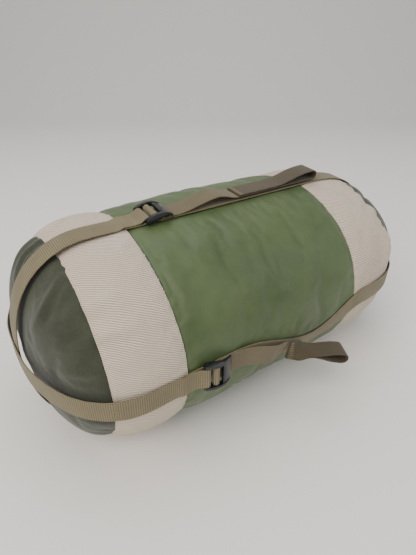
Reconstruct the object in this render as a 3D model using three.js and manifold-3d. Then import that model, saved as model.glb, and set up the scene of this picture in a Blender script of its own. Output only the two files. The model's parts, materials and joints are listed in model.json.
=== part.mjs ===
// Compression sack, stuffed and lying on its side. Millimetres.
// +X runs along the sack from the lid to the sewn base, +Z is up, and -Y is the front.
// Webbing runs lengthways at four places: top, front, back and bottom.

import * as THREE from 'three';
import { mergeVertices } from 'three/addons/utils/BufferGeometryUtils.js';
import Module from 'manifold-3d';

const wasm = await Module();
wasm.setup();

// ---------------------------------------------------------------- driving dimensions

const sack = { halfWidth: 140, halfHeight: 123.5, pressed: 6.2 };
const lidEnd = { side: -1, rim: 127.6, shoulder: 147, capSeam: 205, pole: 252, flat: 2.9, round: 2.26 };
const baseEnd = { side: 1, rim: 127.6, shoulder: 142, capSeam: 212, pole: 270, flat: 2.4, round: 3.34 };
const cloth = { thickness: 1.5, lidProud: 0.6, tucked: 3.7 };
const neck = { start: 150, end: 232, radiusShare: 0.24 };
const hem = { bore: 29, outer: 37, length: 8 };
const binding = { width: 12, thickness: 0.9 };
const stuffing = { clearance: 3, lidReach: 218 };
const webbing = { width: 25, thickness: 1.4 };
const buckle = { railWidth: 3.5, barRadius: 2.2, barClearance: 0.4, length: 28, height: 12.4 };
const gap = 0.3;
const layerGap = 0.5;

// Bars of one buckle, as distance along it from the anchor bar and height above the cloth.
const anchorBar = { along: 0, up: 5 };
const middleBar = { along: 9.6, up: 7.2 };
const lockBar = { along: 16, up: 8.8, length: 5, thickness: 2.8 };
const tab = { up: 5.6, thickness: 2.2 };

// Each strap's angle round the sack is 0 at the front and 90 at the top. The top one lies a little forward.
const straps = {
  top: { angle: 83, buckleX: -105, tackX: 18, loopEndX: 152, bump: 9, mouth: 9 },
  front: { angle: -2, buckleX: -110, tackX: 2, sag: 16, bump: 7, mouth: 10 },
  back: { angle: 182, buckleX: -110, tackX: 2, sag: 16, bump: 7, mouth: 10 },
  bottom: { angle: -90, buckleX: -97, tackX: 18, loopEndX: 152, bump: 0, mouth: 0 },
};
const fold = { length: 26 };
const standOff = { lid: 5, base: 0.6 };
const freeLoop = { length: 78, outward: 0.56, droop: 0.2, twistLength: 34, rootGap: 5.5 };

// ---------------------------------------------------------------- worked-out sizes

const axisHeight = sack.halfHeight - sack.pressed;
const lift = webbing.thickness / 2 + gap;
const layerPitch = webbing.thickness + layerGap;
const buckleExit = buckle.length + 2 * gap;
const stripHalf = webbing.width / 2 + 0.7;
const buckleHalf = webbing.width / 2 + 2 * gap + buckle.railWidth + 1.6;
const tailRecess = lift + 2 * layerPitch + webbing.thickness / 2 + gap;
const strapRecess = lift + webbing.thickness / 2 + gap;
const buckleRecess = buckle.height + 0.8;
const lidRecess = buckleRecess - layerPitch - lift;
const recessWall = 5;
const buckleWall = 10;
const loopRecessEnd = straps.bottom.loopEndX + 8;
const hemTapeMiddle = -lidEnd.rim - 3 * gap - binding.width / 2;
const bowUnderWebbing = (webbing.width * sack.halfWidth) / sack.halfHeight;
const runStops = Math.ceil(0.5125 * bowUnderWebbing);
const exitRamp = { start: straps.bottom.buckleX + buckleExit + 7, length: 11 };

// ---------------------------------------------------------------- materials

const finishes = {
  coatedNylon: { color: '#5d6f4c', roughness: 0.5, metalness: 0 },
  oxford: { color: '#c5b9aa', roughness: 0.85, metalness: 0 },
  capCloth: { color: '#4c5240', roughness: 0.9, metalness: 0 },
  webbing: { color: '#7f7660', roughness: 0.8, metalness: 0 },
  darkWebbing: { color: '#63584a', roughness: 0.8, metalness: 0 },
  acetal: { color: '#1c1d1f', roughness: 0.35, metalness: 0 },
  tape: { color: '#2f3327', roughness: 0.9, metalness: 0 },
  filling: { color: '#8a8d84', roughness: 0.95, metalness: 0 },
};

function materialOf(finish) {
  return new THREE.MeshStandardMaterial(finishes[finish]);
}

// ---------------------------------------------------------------- small helpers

function clamp01(value) {
  return THREE.MathUtils.clamp(value, 0, 1);
}

/** Returns 1 where value is at full and 0 where it is at none, straight between. */
function ramp(value, full, none) {
  return clamp01((value - none) / (full - none));
}

/** Returns the value at x of a list of [x, value] stops, eased between the stops. */
function eased(stops, x) {
  const next = stops.findIndex(([at]) => at >= x);
  if (next === 0) return stops[0][1];
  if (next < 0) return stops[stops.length - 1][1];
  const [x0, v0] = stops[next - 1];
  const [x1, v1] = stops[next];
  return THREE.MathUtils.lerp(v0, v1, THREE.MathUtils.smoothstep(x, x0, x1));
}

/** Returns count + 1 numbers spread evenly from first to last. */
function spread(first, last, count) {
  return Array.from({ length: count + 1 }, (_, i) => THREE.MathUtils.lerp(first, last, i / count));
}

/** Makes an indexed geometry, turned inside out if its volume is negative. */
function closedGeometry(points, triangles) {
  let volume = 0;
  for (const [a, b, c] of triangles) {
    volume += points[a].clone().cross(points[b]).dot(points[c]);
  }
  const faces = volume > 0 ? triangles : triangles.map(([a, b, c]) => [a, c, b]);
  const geometry = new THREE.BufferGeometry();
  const places = points.flatMap((point) => point.toArray());
  geometry.setAttribute('position', new THREE.Float32BufferAttribute(places, 3));
  geometry.setIndex(faces.flat());
  return geometry;
}

function named(name, finish, geometry) {
  const mesh = new THREE.Mesh(geometry, materialOf(finish));
  mesh.name = name;
  return mesh;
}

function toManifold(source) {
  const bare = source.clone();
  bare.deleteAttribute('normal');
  bare.deleteAttribute('uv');
  const merged = mergeVertices(bare, 1e-4);
  const mesh = new wasm.Mesh({
    numProp: 3,
    vertProperties: new Float32Array(merged.attributes.position.array),
    triVerts: new Uint32Array(merged.index.array),
  });
  return new wasm.Manifold(mesh);
}

function fromManifold(solid) {
  const mesh = solid.getMesh();
  const geometry = new THREE.BufferGeometry();
  geometry.setAttribute('position', new THREE.BufferAttribute(new Float32Array(mesh.vertProperties), 3));
  geometry.setIndex(new THREE.BufferAttribute(new Uint32Array(mesh.triVerts), 1));
  return geometry;
}

// ---------------------------------------------------------------- the stuffed form

/** Returns the share of the full section left at x, on a skin that stands off by offset. */
function endShare(x, offset) {
  const end = x < 0 ? lidEnd : baseEnd;
  const along = Math.abs(x);
  if (along <= end.shoulder) return 1;
  const reach = Math.min((along - end.shoulder) / (end.pole + offset - end.shoulder), 1);
  return Math.pow(1 - Math.pow(reach, end.flat), 1 / end.round);
}

/** Returns the body's share of the full section where it gathers into the neck under the lid. */
function neckShare(x, offset) {
  const gathered = THREE.MathUtils.smoothstep(-x, neck.start, neck.end);
  return x > -neck.start ? endShare(x, offset) : THREE.MathUtils.lerp(1, neck.radiusShare, gathered);
}

/** Height of the recess under the body that holds the bottom strap and its buckle. */
function bodyFloor(x, y) {
  const across = Math.abs(y);
  const strip = ramp(across, stripHalf, stripHalf + recessWall);
  const beforeLoopEnd = ramp(x, loopRecessEnd, loopRecessEnd + recessWall);
  const deep = THREE.MathUtils.lerp(strapRecess, tailRecess, beforeLoopEnd);
  const pocket = ramp(across, buckleHalf, buckleHalf + buckleWall);
  const beforeExit = ramp(x, exitRamp.start, exitRamp.start + exitRamp.length);
  return Math.max(deep * strip, buckleRecess * pocket * beforeExit);
}

/** Height of the recess under the lid that holds the bottom anchor strap. */
function lidFloor(x, y) {
  const strip = ramp(Math.abs(y), stripHalf, stripHalf + recessWall);
  const deep = THREE.MathUtils.lerp(strapRecess, lidRecess, ramp(x, -lidEnd.rim, -lidEnd.shoulder));
  return deep * strip;
}

/** Angles round the sack, closer together under it so that the recess has true edges. */
function roundAngles() {
  const flatHalf = sack.halfWidth * Math.sqrt(1 - Math.pow(axisHeight / sack.halfHeight, 2));
  const edges = [0, stripHalf, stripHalf + recessWall, buckleHalf + buckleWall, flatHalf];
  const right = edges.map((edge) => Math.asin(edge / sack.halfWidth));
  const last = right[right.length - 1];
  const over = spread(last, 2 * Math.PI - last, 22).slice(1, -1);
  const left = right.slice(1).reverse().map((turn) => 2 * Math.PI - turn);
  return [...right, ...over, ...left].map((turn) => turn - Math.PI / 2);
}

const around = roundAngles();

/** Returns one ring of points on a layer at x. A layer has an offset, a floor and a share. */
function ring(x, layer) {
  const share = layer.share(x, layer.offset);
  return around.map((angle) => {
    const y = -(sack.halfWidth + layer.offset) * share * Math.cos(angle);
    const z = axisHeight + (sack.halfHeight + layer.offset) * share * Math.sin(angle);
    return new THREE.Vector3(x, y, Math.max(z, layer.floor(x, y) + layer.floorOffset));
  });
}

/** Joins rings into a skin, with parallel diagonals on parallel skins. One point closes an end. */
function skinFaces(rings, triangles, firstIndex) {
  const count = around.length;
  let index = firstIndex;
  for (let k = 0; k < rings.length - 1; k += 1) {
    const here = index;
    const next = here + rings[k].length;
    const outbound = rings[k][0].x < rings[k + 1][0].x;
    for (let i = 0; i < count; i += 1) {
      const j = (i + 1) % count;
      if (rings[k].length === 1) triangles.push([here, next + i, next + j]);
      else if (rings[k + 1].length === 1) triangles.push([here + j, here + i, next]);
      else if (outbound) triangles.push([here + i, next + i, next + j], [here + i, next + j, here + j]);
      else triangles.push([here + i, next + i, here + j], [next + i, next + j, here + j]);
    }
    index = next;
  }
}

/** Joins rings into one closed wall whose last ring meets its first. */
function closedWall(rings) {
  const triangles = [];
  skinFaces([...rings, rings[0]], triangles, 0);
  const total = rings.length * around.length;
  const faces = triangles.map((face) => face.map((corner) => corner % total));
  return closedGeometry(rings.flat(), faces);
}

/** A closed cloth tube: the outer rings from first to last, then the inner rings back. */
function clothTube(stations, outer, inner) {
  const outerRings = stations.map((x) => ring(x, outer));
  const innerRings = stations.map((x) => ring(x, inner));
  return closedWall([...outerRings, ...innerRings.reverse()]);
}

const bodyStations = [-90, exitRamp.start, exitRamp.start + exitRamp.length, 0, 45, 90];
const bandEdges = [baseEnd.shoulder, loopRecessEnd, loopRecessEnd + recessWall];
const bandStations = [...bandEdges, 182, 198, baseEnd.capSeam - 6];
const skirtStations = [-lidEnd.capSeam + 6, -187, -174, -160, -lidEnd.shoulder];
const neckStations = [-stuffing.lidReach, -200, -182, -166, -neck.start];

/** Stations from the cap seam to just short of a layer's pole. */
function domeStations(end, seam, offset) {
  const shares = [0, 0.22, 0.42, 0.6, 0.75, 0.87, 0.95, 0.988];
  return shares.map((share) => end.side * THREE.MathUtils.lerp(seam, end.pole + offset, share));
}

/** A domed cloth cap, closed at the pole of each of its two faces. */
function clothDome(end, seam, outer, inner) {
  const pole = (layer) => [new THREE.Vector3(end.side * (end.pole + layer.offset), 0, axisHeight)];
  const outerRings = domeStations(end, seam, outer.offset).map((x) => ring(x, outer));
  const innerRings = domeStations(end, seam, inner.offset).map((x) => ring(x, inner));
  const rings = [pole(outer), ...outerRings.reverse(), ...innerRings, pole(inner)];
  const triangles = [];
  skinFaces(rings, triangles, 0);
  return closedGeometry(rings.flat(), triangles);
}

function layer(offset, floor, floorOffset, share = endShare) {
  return { offset, floor, floorOffset, share };
}

const bodyLayer = (depth, share) => layer(-depth, bodyFloor, depth, share);
const lidLayer = (depth) => layer(cloth.lidProud - depth, lidFloor, depth);

// ---------------------------------------------------------------- cloth parts

function addBody(group) {
  const exposed = [-lidEnd.rim, ...bodyStations, baseEnd.rim - gap / 2];
  const covered = [-neck.end, ...neckStations, -lidEnd.rim - 2 * gap];
  const tucked = (x) => (x < -lidEnd.rim - gap ? cloth.tucked : 0);
  const face = (depth) => (x) => ring(x, bodyLayer(depth + tucked(x), neckShare));
  const stations = [...covered, ...exposed];
  const outerRings = stations.map(face(0));
  const innerRings = stations.map(face(cloth.thickness));
  const wall = closedWall([...outerRings, ...innerRings.reverse()]);
  group.add(named('body_tube', 'coatedNylon', wall));
}

function addNeckHem(group) {
  const mid = (hem.bore + hem.outer) / 2;
  const half = (hem.outer - hem.bore) / 2;
  const profile = spread(0, 2 * Math.PI, 8).map((turn) => {
    return new THREE.Vector2(mid + half * Math.cos(turn), (hem.length / 2) * Math.sin(turn));
  });
  profile[8].copy(profile[0]);
  const mesh = named('neck_hem', 'coatedNylon', new THREE.LatheGeometry(profile, 24));
  mesh.rotation.z = Math.PI / 2;
  mesh.position.set(-neck.end - hem.length / 2 - gap, 0, axisHeight);
  group.add(mesh);
}

function addBase(group) {
  const start = baseEnd.rim + gap / 2;
  const bandEnd = baseEnd.capSeam - gap / 2;
  const stations = [start, ...bandStations, bandEnd];
  const outer = bodyLayer(0);
  const inner = bodyLayer(cloth.thickness);
  group.add(named('base_band', 'oxford', clothTube(stations, outer, inner)));
  group.add(named('base_cap', 'capCloth', clothDome(baseEnd, baseEnd.capSeam + gap / 2, outer, inner)));
}

function addLid(group) {
  const seam = lidEnd.capSeam;
  const overTape = [hemTapeMiddle - binding.width / 2, hemTapeMiddle];
  const stations = [-seam + gap / 2, ...skirtStations, ...overTape, -lidEnd.rim - 2 * gap];
  const outer = lidLayer(0);
  const inner = lidLayer(cloth.thickness);
  group.add(named('lid_skirt', 'oxford', clothTube(stations, outer, inner)));
  group.add(named('lid_cap', 'capCloth', clothDome(lidEnd, seam + gap / 2, outer, inner)));
}

/** Bias tape that binds the raw edges inside a seam. */
function addBinding(group, name, middle, makeLayer) {
  const outer = makeLayer(cloth.thickness + 2 * gap);
  const inner = makeLayer(cloth.thickness + 2 * gap + binding.thickness);
  const stations = spread(middle - binding.width / 2, middle + binding.width / 2, 2);
  group.add(named(name, 'tape', clothTube(stations, outer, inner)));
}

function addBindings(group) {
  addBinding(group, 'base_seam_binding', baseEnd.rim, bodyLayer);
  addBinding(group, 'base_cap_binding', baseEnd.capSeam, bodyLayer);
  addBinding(group, 'lid_cap_binding', -lidEnd.capSeam, lidLayer);
  addBinding(group, 'lid_hem_tape', hemTapeMiddle, lidLayer);
}

/** The packed load, which holds the sack's form. */
function addContents(group) {
  const depth = cloth.thickness + stuffing.clearance;
  const stations = [...neckStations, -lidEnd.rim, ...bodyStations, baseEnd.rim, ...bandStations];
  const deeper = (x) => (x < -lidEnd.rim + gap ? cloth.tucked : 0);
  const face = (x) => ring(x, bodyLayer(depth + deeper(x), neckShare));
  const dome = domeStations(baseEnd, baseEnd.capSeam, -depth).map(face);
  const first = [new THREE.Vector3(-stuffing.lidReach - 4, 0, axisHeight)];
  const last = [new THREE.Vector3(baseEnd.pole - depth, 0, axisHeight)];
  const rings = [first, ...stations.map(face), ...dome, last];
  const triangles = [];
  skinFaces(rings, triangles, 0);
  group.add(named('packed_contents', 'filling', closedGeometry(rings.flat(), triangles)));
}

// ---------------------------------------------------------------- webbing

/** Outward unit normal of the section at an angle. */
function sectionNormal(angle) {
  const across = -Math.cos(angle) / sack.halfWidth;
  const up = Math.sin(angle) / sack.halfHeight;
  return new THREE.Vector3(0, across, up).normalize();
}

/** Height of the cloth that the bottom strap lies against at x. */
function bottomFloor(x) {
  return x < -lidEnd.rim - gap ? lidFloor(x, 0) : bodyFloor(x, 0);
}

/** Point of the outer cloth at x and angle. */
function clothPoint(x, angle) {
  const offset = x < -lidEnd.rim - gap ? cloth.lidProud : 0;
  const share = endShare(x, offset);
  const y = -(sack.halfWidth + offset) * share * Math.cos(angle);
  const z = axisHeight + (sack.halfHeight + offset) * share * Math.sin(angle);
  const under = Math.sin(angle) < -0.99;
  return new THREE.Vector3(x, y, under ? Math.max(z, bottomFloor(x)) : z);
}

/** Faces of one stretch of ribbon. Broad faces share a diagonal, so that layers stay parallel. */
function stretchFaces(i, returning) {
  const [a, b, c, d] = [0, 1, 2, 3].map((corner) => 4 * i + corner);
  const [e, f, g, h] = [4, 5, 6, 7].map((corner) => 4 * i + corner);
  const sides = [[b, g, c], [b, f, g], [d, e, a], [d, h, e]];
  const outbound = [[a, f, b], [a, e, f], [c, g, d], [d, g, h]];
  const inbound = [[a, e, b], [b, e, f], [c, h, d], [c, g, h]];
  return [...sides, ...(returning ? inbound : outbound)];
}

/** Builds a flat band of webbing from samples with a middle point and a width direction. */
function ribbon(samples) {
  const half = webbing.width / 2;
  const thick = webbing.thickness / 2;
  const points = [];
  let last = samples[0].width;
  samples.forEach(({ point, width }, i) => {
    const before = samples[Math.max(i - 1, 0)].point;
    const after = samples[Math.min(i + 1, samples.length - 1)].point;
    const along = after.clone().sub(before).normalize();
    const across = width.clone().addScaledVector(along, -width.dot(along)).normalize();
    if (across.dot(last) < 0) across.negate();
    last = across;
    const normal = along.clone().cross(across);
    for (const [a, n] of [[-1, -1], [1, -1], [1, 1], [-1, 1]]) {
      points.push(point.clone().addScaledVector(across, a * half).addScaledVector(normal, n * thick));
    }
  });
  const triangles = [[0, 1, 2], [0, 2, 3]];
  for (let i = 0; i < samples.length - 1; i += 1) triangles.push(...stretchFaces(i, samples[i].returning));
  const end = 4 * (samples.length - 1);
  triangles.push([end, end + 2, end + 1], [end, end + 3, end + 2]);
  return closedGeometry(points, triangles);
}

/** The strap's angle at x, which droops between the buckle and the base on the side straps. */
function strapAngle(strap, x) {
  const droop = strap.sag ?? 0;
  const away = [[-68, 0], [56, droop], [150, 0]];
  const sign = strap.angle > 90 ? 1 : -1;
  return THREE.MathUtils.degToRad(strap.angle + sign * eased(away, x));
}

/** A ribbon sample that stands off the cloth by a height, under one of the straps' lines. */
function skinStop(strap, x, up) {
  const angle = strapAngle(strap, x);
  const step = 1;
  const before = clothPoint(x - step, strapAngle(strap, x - step));
  const along = clothPoint(x + step, strapAngle(strap, x + step)).sub(before).normalize();
  const out = sectionNormal(angle);
  const width = new THREE.Vector3(1, 0, 0).cross(out);
  width.addScaledVector(along, -width.dot(along)).normalize();
  const normal = width.clone().cross(along);
  if (normal.dot(out) < 0) normal.negate();
  const point = clothPoint(x, angle).addScaledVector(normal, up);
  point.z = Math.max(point.z, gap + webbing.thickness / 2);
  return { point, width };
}

/** Samples over a domed end, out along one strap's line to the pole and back along the other's. */
function domeStops(end, first, second, heightAt) {
  const offset = end === lidEnd ? cloth.lidProud : 0;
  const before = end === lidEnd ? [...skirtStations].reverse() : bandStations;
  const stations = [...before, ...domeStations(end, end.capSeam, offset)];
  const outward = stations.map((x) => skinStop(first, x, heightAt(Math.abs(x))));
  const inward = stations.map((x) => skinStop(second, x, heightAt(Math.abs(x))));
  const reach = end.pole + offset + heightAt(end.pole);
  const poleWidth = new THREE.Vector3(1, 0, 0).cross(sectionNormal(THREE.MathUtils.degToRad(first.angle)));
  const pole = { point: new THREE.Vector3(end.side * reach, 0, axisHeight), width: poleWidth };
  return [...outward, pole, ...inward.reverse()];
}

/** Height over the cap: slack webbing stands away, and the second strap crosses the first. */
function capHeight(end, crossing) {
  const slack = end === lidEnd ? standOff.lid : standOff.base;
  const bow = [[end.shoulder, 0], [end.capSeam, 0.55 * slack], [end.pole - 4, slack]];
  const hop = [[end.pole - 9, 0], [end.pole - 2.5, crossing * layerPitch]];
  return (along) => lift + eased(bow, along) + eased(hop, along);
}

/** The end of an anchor strap, folded back round the buckle's anchor bar and sewn down. */
function anchorStops(strap) {
  const from = strap.buckleX;
  const wrap = buckle.barRadius + buckle.barClearance + webbing.thickness / 2;
  const second = lift + layerPitch;
  const over = [[-34, lift], [-28, second], [-18, second], [-9, second + 0.8]];
  const bend = spread(112, -100, 9).map((degrees) => {
    const turn = THREE.MathUtils.degToRad(degrees);
    return [anchorBar.along + wrap * Math.cos(turn), anchorBar.up + wrap * Math.sin(turn)];
  });
  const under = [[-6, lift], [-15, lift], [-fold.length, lift]];
  return [...over, ...bend, ...under].map(([along, up]) => skinStop(strap, from + along, up));
}

function addLidStrap(group, name, first, second, crossing) {
  const heightAt = capHeight(lidEnd, crossing);
  const dome = domeStops(lidEnd, first, second, heightAt);
  const samples = [...anchorStops(first).reverse(), ...dome, ...anchorStops(second)];
  group.add(named(name, 'webbing', ribbon(samples)));
}

function liveStops(strap) {
  const start = strap.buckleX + buckleExit + gap;
  const { start: rampStart, length } = exitRamp;
  const stations = [start, start + 5, rampStart, rampStart + length, ...spread(-34, 132, runStops)];
  return stations.filter((x) => x >= start).map((x) => skinStop(strap, x, lift));
}

function addBaseStrap(group, name, first, second, crossing) {
  const dome = domeStops(baseEnd, first, second, capHeight(baseEnd, crossing));
  const samples = [...liveStops(first), ...dome, ...liveStops(second).reverse()];
  group.add(named(name, 'webbing', ribbon(samples)));
}

// ---------------------------------------------------------------- buckles

/** Outline of a side rail: round at the anchor bar and arched to the lifting tab. */
function railShape() {
  const shape = new THREE.Shape();
  const round = buckle.barRadius + 1.8;
  shape.moveTo(anchorBar.along, anchorBar.up - round);
  shape.absarc(anchorBar.along, anchorBar.up, round, -Math.PI / 2, Math.PI * 0.6, true);
  const end = buckle.length;
  shape.quadraticCurveTo(0.24 * end, buckle.height, 0.47 * end, buckle.height);
  shape.quadraticCurveTo(0.82 * end, buckle.height, end, tab.up + tab.thickness);
  shape.lineTo(end, tab.up);
  shape.quadraticCurveTo(0.79 * end, tab.up + 2, 0.63 * end, tab.up + 1.6);
  shape.quadraticCurveTo(0.37 * end, tab.up + 0.4, 0.21 * end, 2.6);
  shape.closePath();
  return shape;
}

function barShape(bar) {
  const shape = new THREE.Shape();
  shape.absarc(bar.along, bar.up, buckle.barRadius, 0, 2 * Math.PI);
  return shape;
}

function lockShape() {
  const shape = new THREE.Shape();
  const top = lockBar.up + lockBar.thickness;
  shape.moveTo(lockBar.along, lockBar.up - 0.6);
  shape.lineTo(lockBar.along, top);
  shape.lineTo(lockBar.along + lockBar.length, top - 0.6);
  shape.lineTo(buckle.length, tab.up + tab.thickness);
  shape.lineTo(buckle.length, tab.up);
  shape.lineTo(lockBar.along + lockBar.length, lockBar.up - 1);
  shape.closePath();
  return shape;
}

/** Extrudes an outline of the buckle's side view across it, from one width to another. */
function across(shape, from, to) {
  const settings = { depth: to - from, bevelEnabled: false, curveSegments: 6 };
  const geometry = new THREE.ExtrudeGeometry(shape, settings);
  return toManifold(geometry.translate(0, 0, from));
}

function buckleGeometry() {
  const inner = webbing.width / 2 + 2 * gap;
  const outer = inner + buckle.railWidth;
  const cross = inner + buckle.railWidth / 2;
  const bars = [barShape(anchorBar), barShape(middleBar), lockShape()];
  const rails = [across(railShape(), inner, outer), across(railShape(), -outer, -inner)];
  const solid = bars.reduce((sum, shape) => sum.add(across(shape, -cross, cross)), rails[0].add(rails[1]));
  return fromManifold(solid);
}

/** Webbing inside the buckle: in under it, round the middle bar, and out under the lock bar. */
function threadedGeometry() {
  const wrap = buckle.barRadius + buckle.barClearance + webbing.thickness / 2;
  const bend = spread(250, -40, 12).map((degrees) => {
    const turn = THREE.MathUtils.degToRad(degrees);
    return [middleBar.along + wrap * Math.cos(turn), middleBar.up + wrap * Math.sin(turn)];
  });
  const route = [
    [buckleExit - gap, lift],
    [middleBar.along + 11.4, lift],
    [middleBar.along + 6.4, lift],
    [middleBar.along + 1.5, lift + 0.9],
    ...bend,
    [middleBar.along + 6.2, lift + layerPitch + 0.9],
    [middleBar.along + 10.4, lift + layerPitch],
    [buckleExit - gap, lift + layerPitch],
  ];
  const width = new THREE.Vector3(0, 0, 1);
  return ribbon(route.map(([along, up]) => ({ point: new THREE.Vector3(along, up, 0), width })));
}

/** Seats a piece in a buckle's own frame: X along the strap, Y away from the cloth. */
function seat(mesh, strap) {
  const angle = strapAngle(strap, strap.buckleX);
  const along = new THREE.Vector3(1, 0, 0);
  const out = sectionNormal(angle);
  const frame = new THREE.Matrix4().makeBasis(along, out, along.clone().cross(out));
  mesh.quaternion.setFromRotationMatrix(frame);
  mesh.position.copy(clothPoint(strap.buckleX, angle));
  return mesh;
}

// ---------------------------------------------------------------- tails and pull loops

/** Height of a tail above the cloth at x: it bows up between the buckle and the tack. */
function tailHeight(strap, x) {
  const low = lift + layerPitch;
  const start = strap.buckleX + buckleExit;
  const crest = THREE.MathUtils.lerp(start, strap.tackX, 0.68);
  return eased([[start + 8, low], [crest, low + strap.bump], [strap.tackX, low + 0.25 * strap.bump]], x);
}

function addTail(group, place, strap) {
  const start = strap.buckleX + buckleExit + gap;
  const marks = [start, start + 5, start + 10, ...spread(start + 16, strap.tackX, 7)];
  const samples = marks.map((x) => skinStop(strap, x, tailHeight(strap, x)));
  group.add(named(`tail_${place}`, 'darkWebbing', ribbon(samples)));
}

/** A pull loop that lies along the strap: out under, round the end, and back over. */
function lyingLoop(strap) {
  const low = tailHeight(strap, strap.tackX);
  const start = strap.tackX + gap;
  const end = strap.loopEndX;
  const half = (layerPitch + strap.mouth) / 2;
  const opening = [[start + 60, 0], [end - 16, strap.mouth]];
  const out = spread(start, end - half, 8).map((x) => [x, low]);
  const turn = spread(-60, 60, strap.mouth > 0 ? 4 : 2).map((degrees) => {
    const angle = THREE.MathUtils.degToRad(degrees);
    return [end - half + half * Math.cos(angle), low + half + half * Math.sin(angle)];
  });
  const back = spread(end - half, start, 10).map((x) => [x, low + layerPitch + eased(opening, x)]);
  return [...out, ...turn, ...back].map(([x, up]) => skinStop(strap, x, up));
}

/** A pull loop that stands out from the front of the sack and droops, turning to lie flat. */
function standingLoop(strap) {
  const root = skinStop(strap, strap.tackX, tailHeight(strap, strap.tackX));
  const along = new THREE.Vector3(1, -freeLoop.outward, -freeLoop.droop).normalize();
  const flat = new THREE.Vector3(-along.y, along.x, 0).normalize();
  if (flat.dot(root.width) < 0) flat.negate();
  const outerSide = new THREE.Vector3(0, -1, 1);
  const half = (layerPitch + strap.mouth) / 2;
  const end = freeLoop.length - half;
  const opening = [[freeLoop.twistLength, 0], [end - 6, strap.mouth]];
  const place = (far, above) => {
    const share = eased([[freeLoop.rootGap, 0], [freeLoop.twistLength, 1]], far);
    const width = root.width.clone().lerp(flat, share);
    width.addScaledVector(along, -width.dot(along)).normalize();
    const normal = width.clone().cross(along);
    if (normal.dot(outerSide) < 0) normal.negate();
    return { point: root.point.clone().addScaledVector(along, far).addScaledVector(normal, above), width };
  };
  const twisting = spread(freeLoop.rootGap, freeLoop.twistLength, 12);
  const out = [...twisting, ...spread(freeLoop.twistLength, end, 7).slice(1)];
  const lower = out.map((far) => place(far, -eased(opening, far) / 2));
  const turn = spread(-60, 60, 4).map((degrees) => {
    const bend = THREE.MathUtils.degToRad(degrees);
    return place(end + half * Math.cos(bend), layerPitch / 2 + half * Math.sin(bend));
  });
  const back = [...out].reverse();
  const upper = back.map((far) => {
    const stop = place(far, layerPitch + eased(opening, far) / 2);
    return { ...stop, returning: true };
  });
  return [...lower, ...turn, ...upper];
}

/** Samples of the same piece on the other side of the sack. */
function mirrored(samples) {
  const flip = new THREE.Vector3(1, -1, 1);
  return samples.map(({ point, width, returning }) => ({
    point: point.clone().multiply(flip),
    width: width.clone().multiply(flip),
    returning,
  }));
}

function addPullLoop(group, place, strap) {
  const shapes = {
    top: () => lyingLoop(strap),
    bottom: () => lyingLoop(strap),
    front: () => standingLoop(strap),
    back: () => mirrored(standingLoop(straps.front)),
  };
  group.add(named(`pull_loop_${place}`, 'darkWebbing', ribbon(shapes[place]())));
}

// ---------------------------------------------------------------- assembly

const assembly = new THREE.Group();
assembly.name = 'compression_sack';
addContents(assembly);
addBody(assembly);
addNeckHem(assembly);
addBase(assembly);
addLid(assembly);
addBindings(assembly);
addLidStrap(assembly, 'lid_strap_upright', straps.top, straps.bottom, 0);
addLidStrap(assembly, 'lid_strap_level', straps.front, straps.back, 1);
addBaseStrap(assembly, 'base_strap_upright', straps.top, straps.bottom, 0);
addBaseStrap(assembly, 'base_strap_level', straps.front, straps.back, 1);

const buckleForm = buckleGeometry();
const threadedForm = threadedGeometry();
for (const [place, strap] of Object.entries(straps)) {
  assembly.add(seat(named(`buckle_${place}`, 'acetal', buckleForm), strap));
  assembly.add(seat(named(`threaded_webbing_${place}`, 'webbing', threadedForm), strap));
  addTail(assembly, place, strap);
  addPullLoop(assembly, place, strap);
}

// The origin is under the middle of the whole sack.
assembly.updateMatrixWorld(true);
const extent = new THREE.Box3().setFromObject(assembly, true);
assembly.position.x = -(extent.min.x + extent.max.x) / 2;

export default assembly;
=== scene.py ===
"""Looks for a stuffed compression sack: woven skins, webbing, moulded buckles and stitching.

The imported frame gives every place. Lengths are in metres and angles round the sack run from
0 at the front to 90 degrees at the top.
"""
import json
import logging
import math
from dataclasses import dataclass, field
from enum import Enum
from typing import Any, Sequence

import bmesh
import bpy
import numpy as np
from mathutils import Matrix, Vector, noise


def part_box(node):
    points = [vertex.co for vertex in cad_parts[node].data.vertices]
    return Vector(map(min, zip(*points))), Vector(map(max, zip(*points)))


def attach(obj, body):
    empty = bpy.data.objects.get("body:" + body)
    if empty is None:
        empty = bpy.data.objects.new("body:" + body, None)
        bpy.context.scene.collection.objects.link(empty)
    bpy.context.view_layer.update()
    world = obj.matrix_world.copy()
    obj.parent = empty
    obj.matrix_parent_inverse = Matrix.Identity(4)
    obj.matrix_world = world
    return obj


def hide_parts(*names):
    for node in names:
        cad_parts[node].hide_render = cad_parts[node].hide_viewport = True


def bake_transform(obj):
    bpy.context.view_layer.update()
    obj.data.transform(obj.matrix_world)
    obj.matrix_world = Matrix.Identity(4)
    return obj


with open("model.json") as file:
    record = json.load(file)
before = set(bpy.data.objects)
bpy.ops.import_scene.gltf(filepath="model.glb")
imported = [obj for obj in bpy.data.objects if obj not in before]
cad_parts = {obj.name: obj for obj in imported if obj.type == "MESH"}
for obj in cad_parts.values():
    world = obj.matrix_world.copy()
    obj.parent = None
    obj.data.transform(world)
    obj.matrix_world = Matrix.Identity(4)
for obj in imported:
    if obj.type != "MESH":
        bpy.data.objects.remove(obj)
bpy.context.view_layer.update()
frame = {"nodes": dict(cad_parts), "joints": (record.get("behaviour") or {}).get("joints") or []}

MM = 0.001
LOG = logging.getLogger("compression_sack")

Stops = Sequence[tuple[float, float]]


# ------------------------------------------------------------------ small helpers


def smooth(share: Any) -> Any:
    """Returns an eased share, level at 0 and at 1."""
    held = np.clip(share, 0.0, 1.0)
    return held * held * (3.0 - 2.0 * held)


def fade(value: Any, full: float, none: float) -> Any:
    """Returns 1 where value is at full and 0 where it is at none, eased between."""
    return smooth((value - none) / (full - none))


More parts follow.
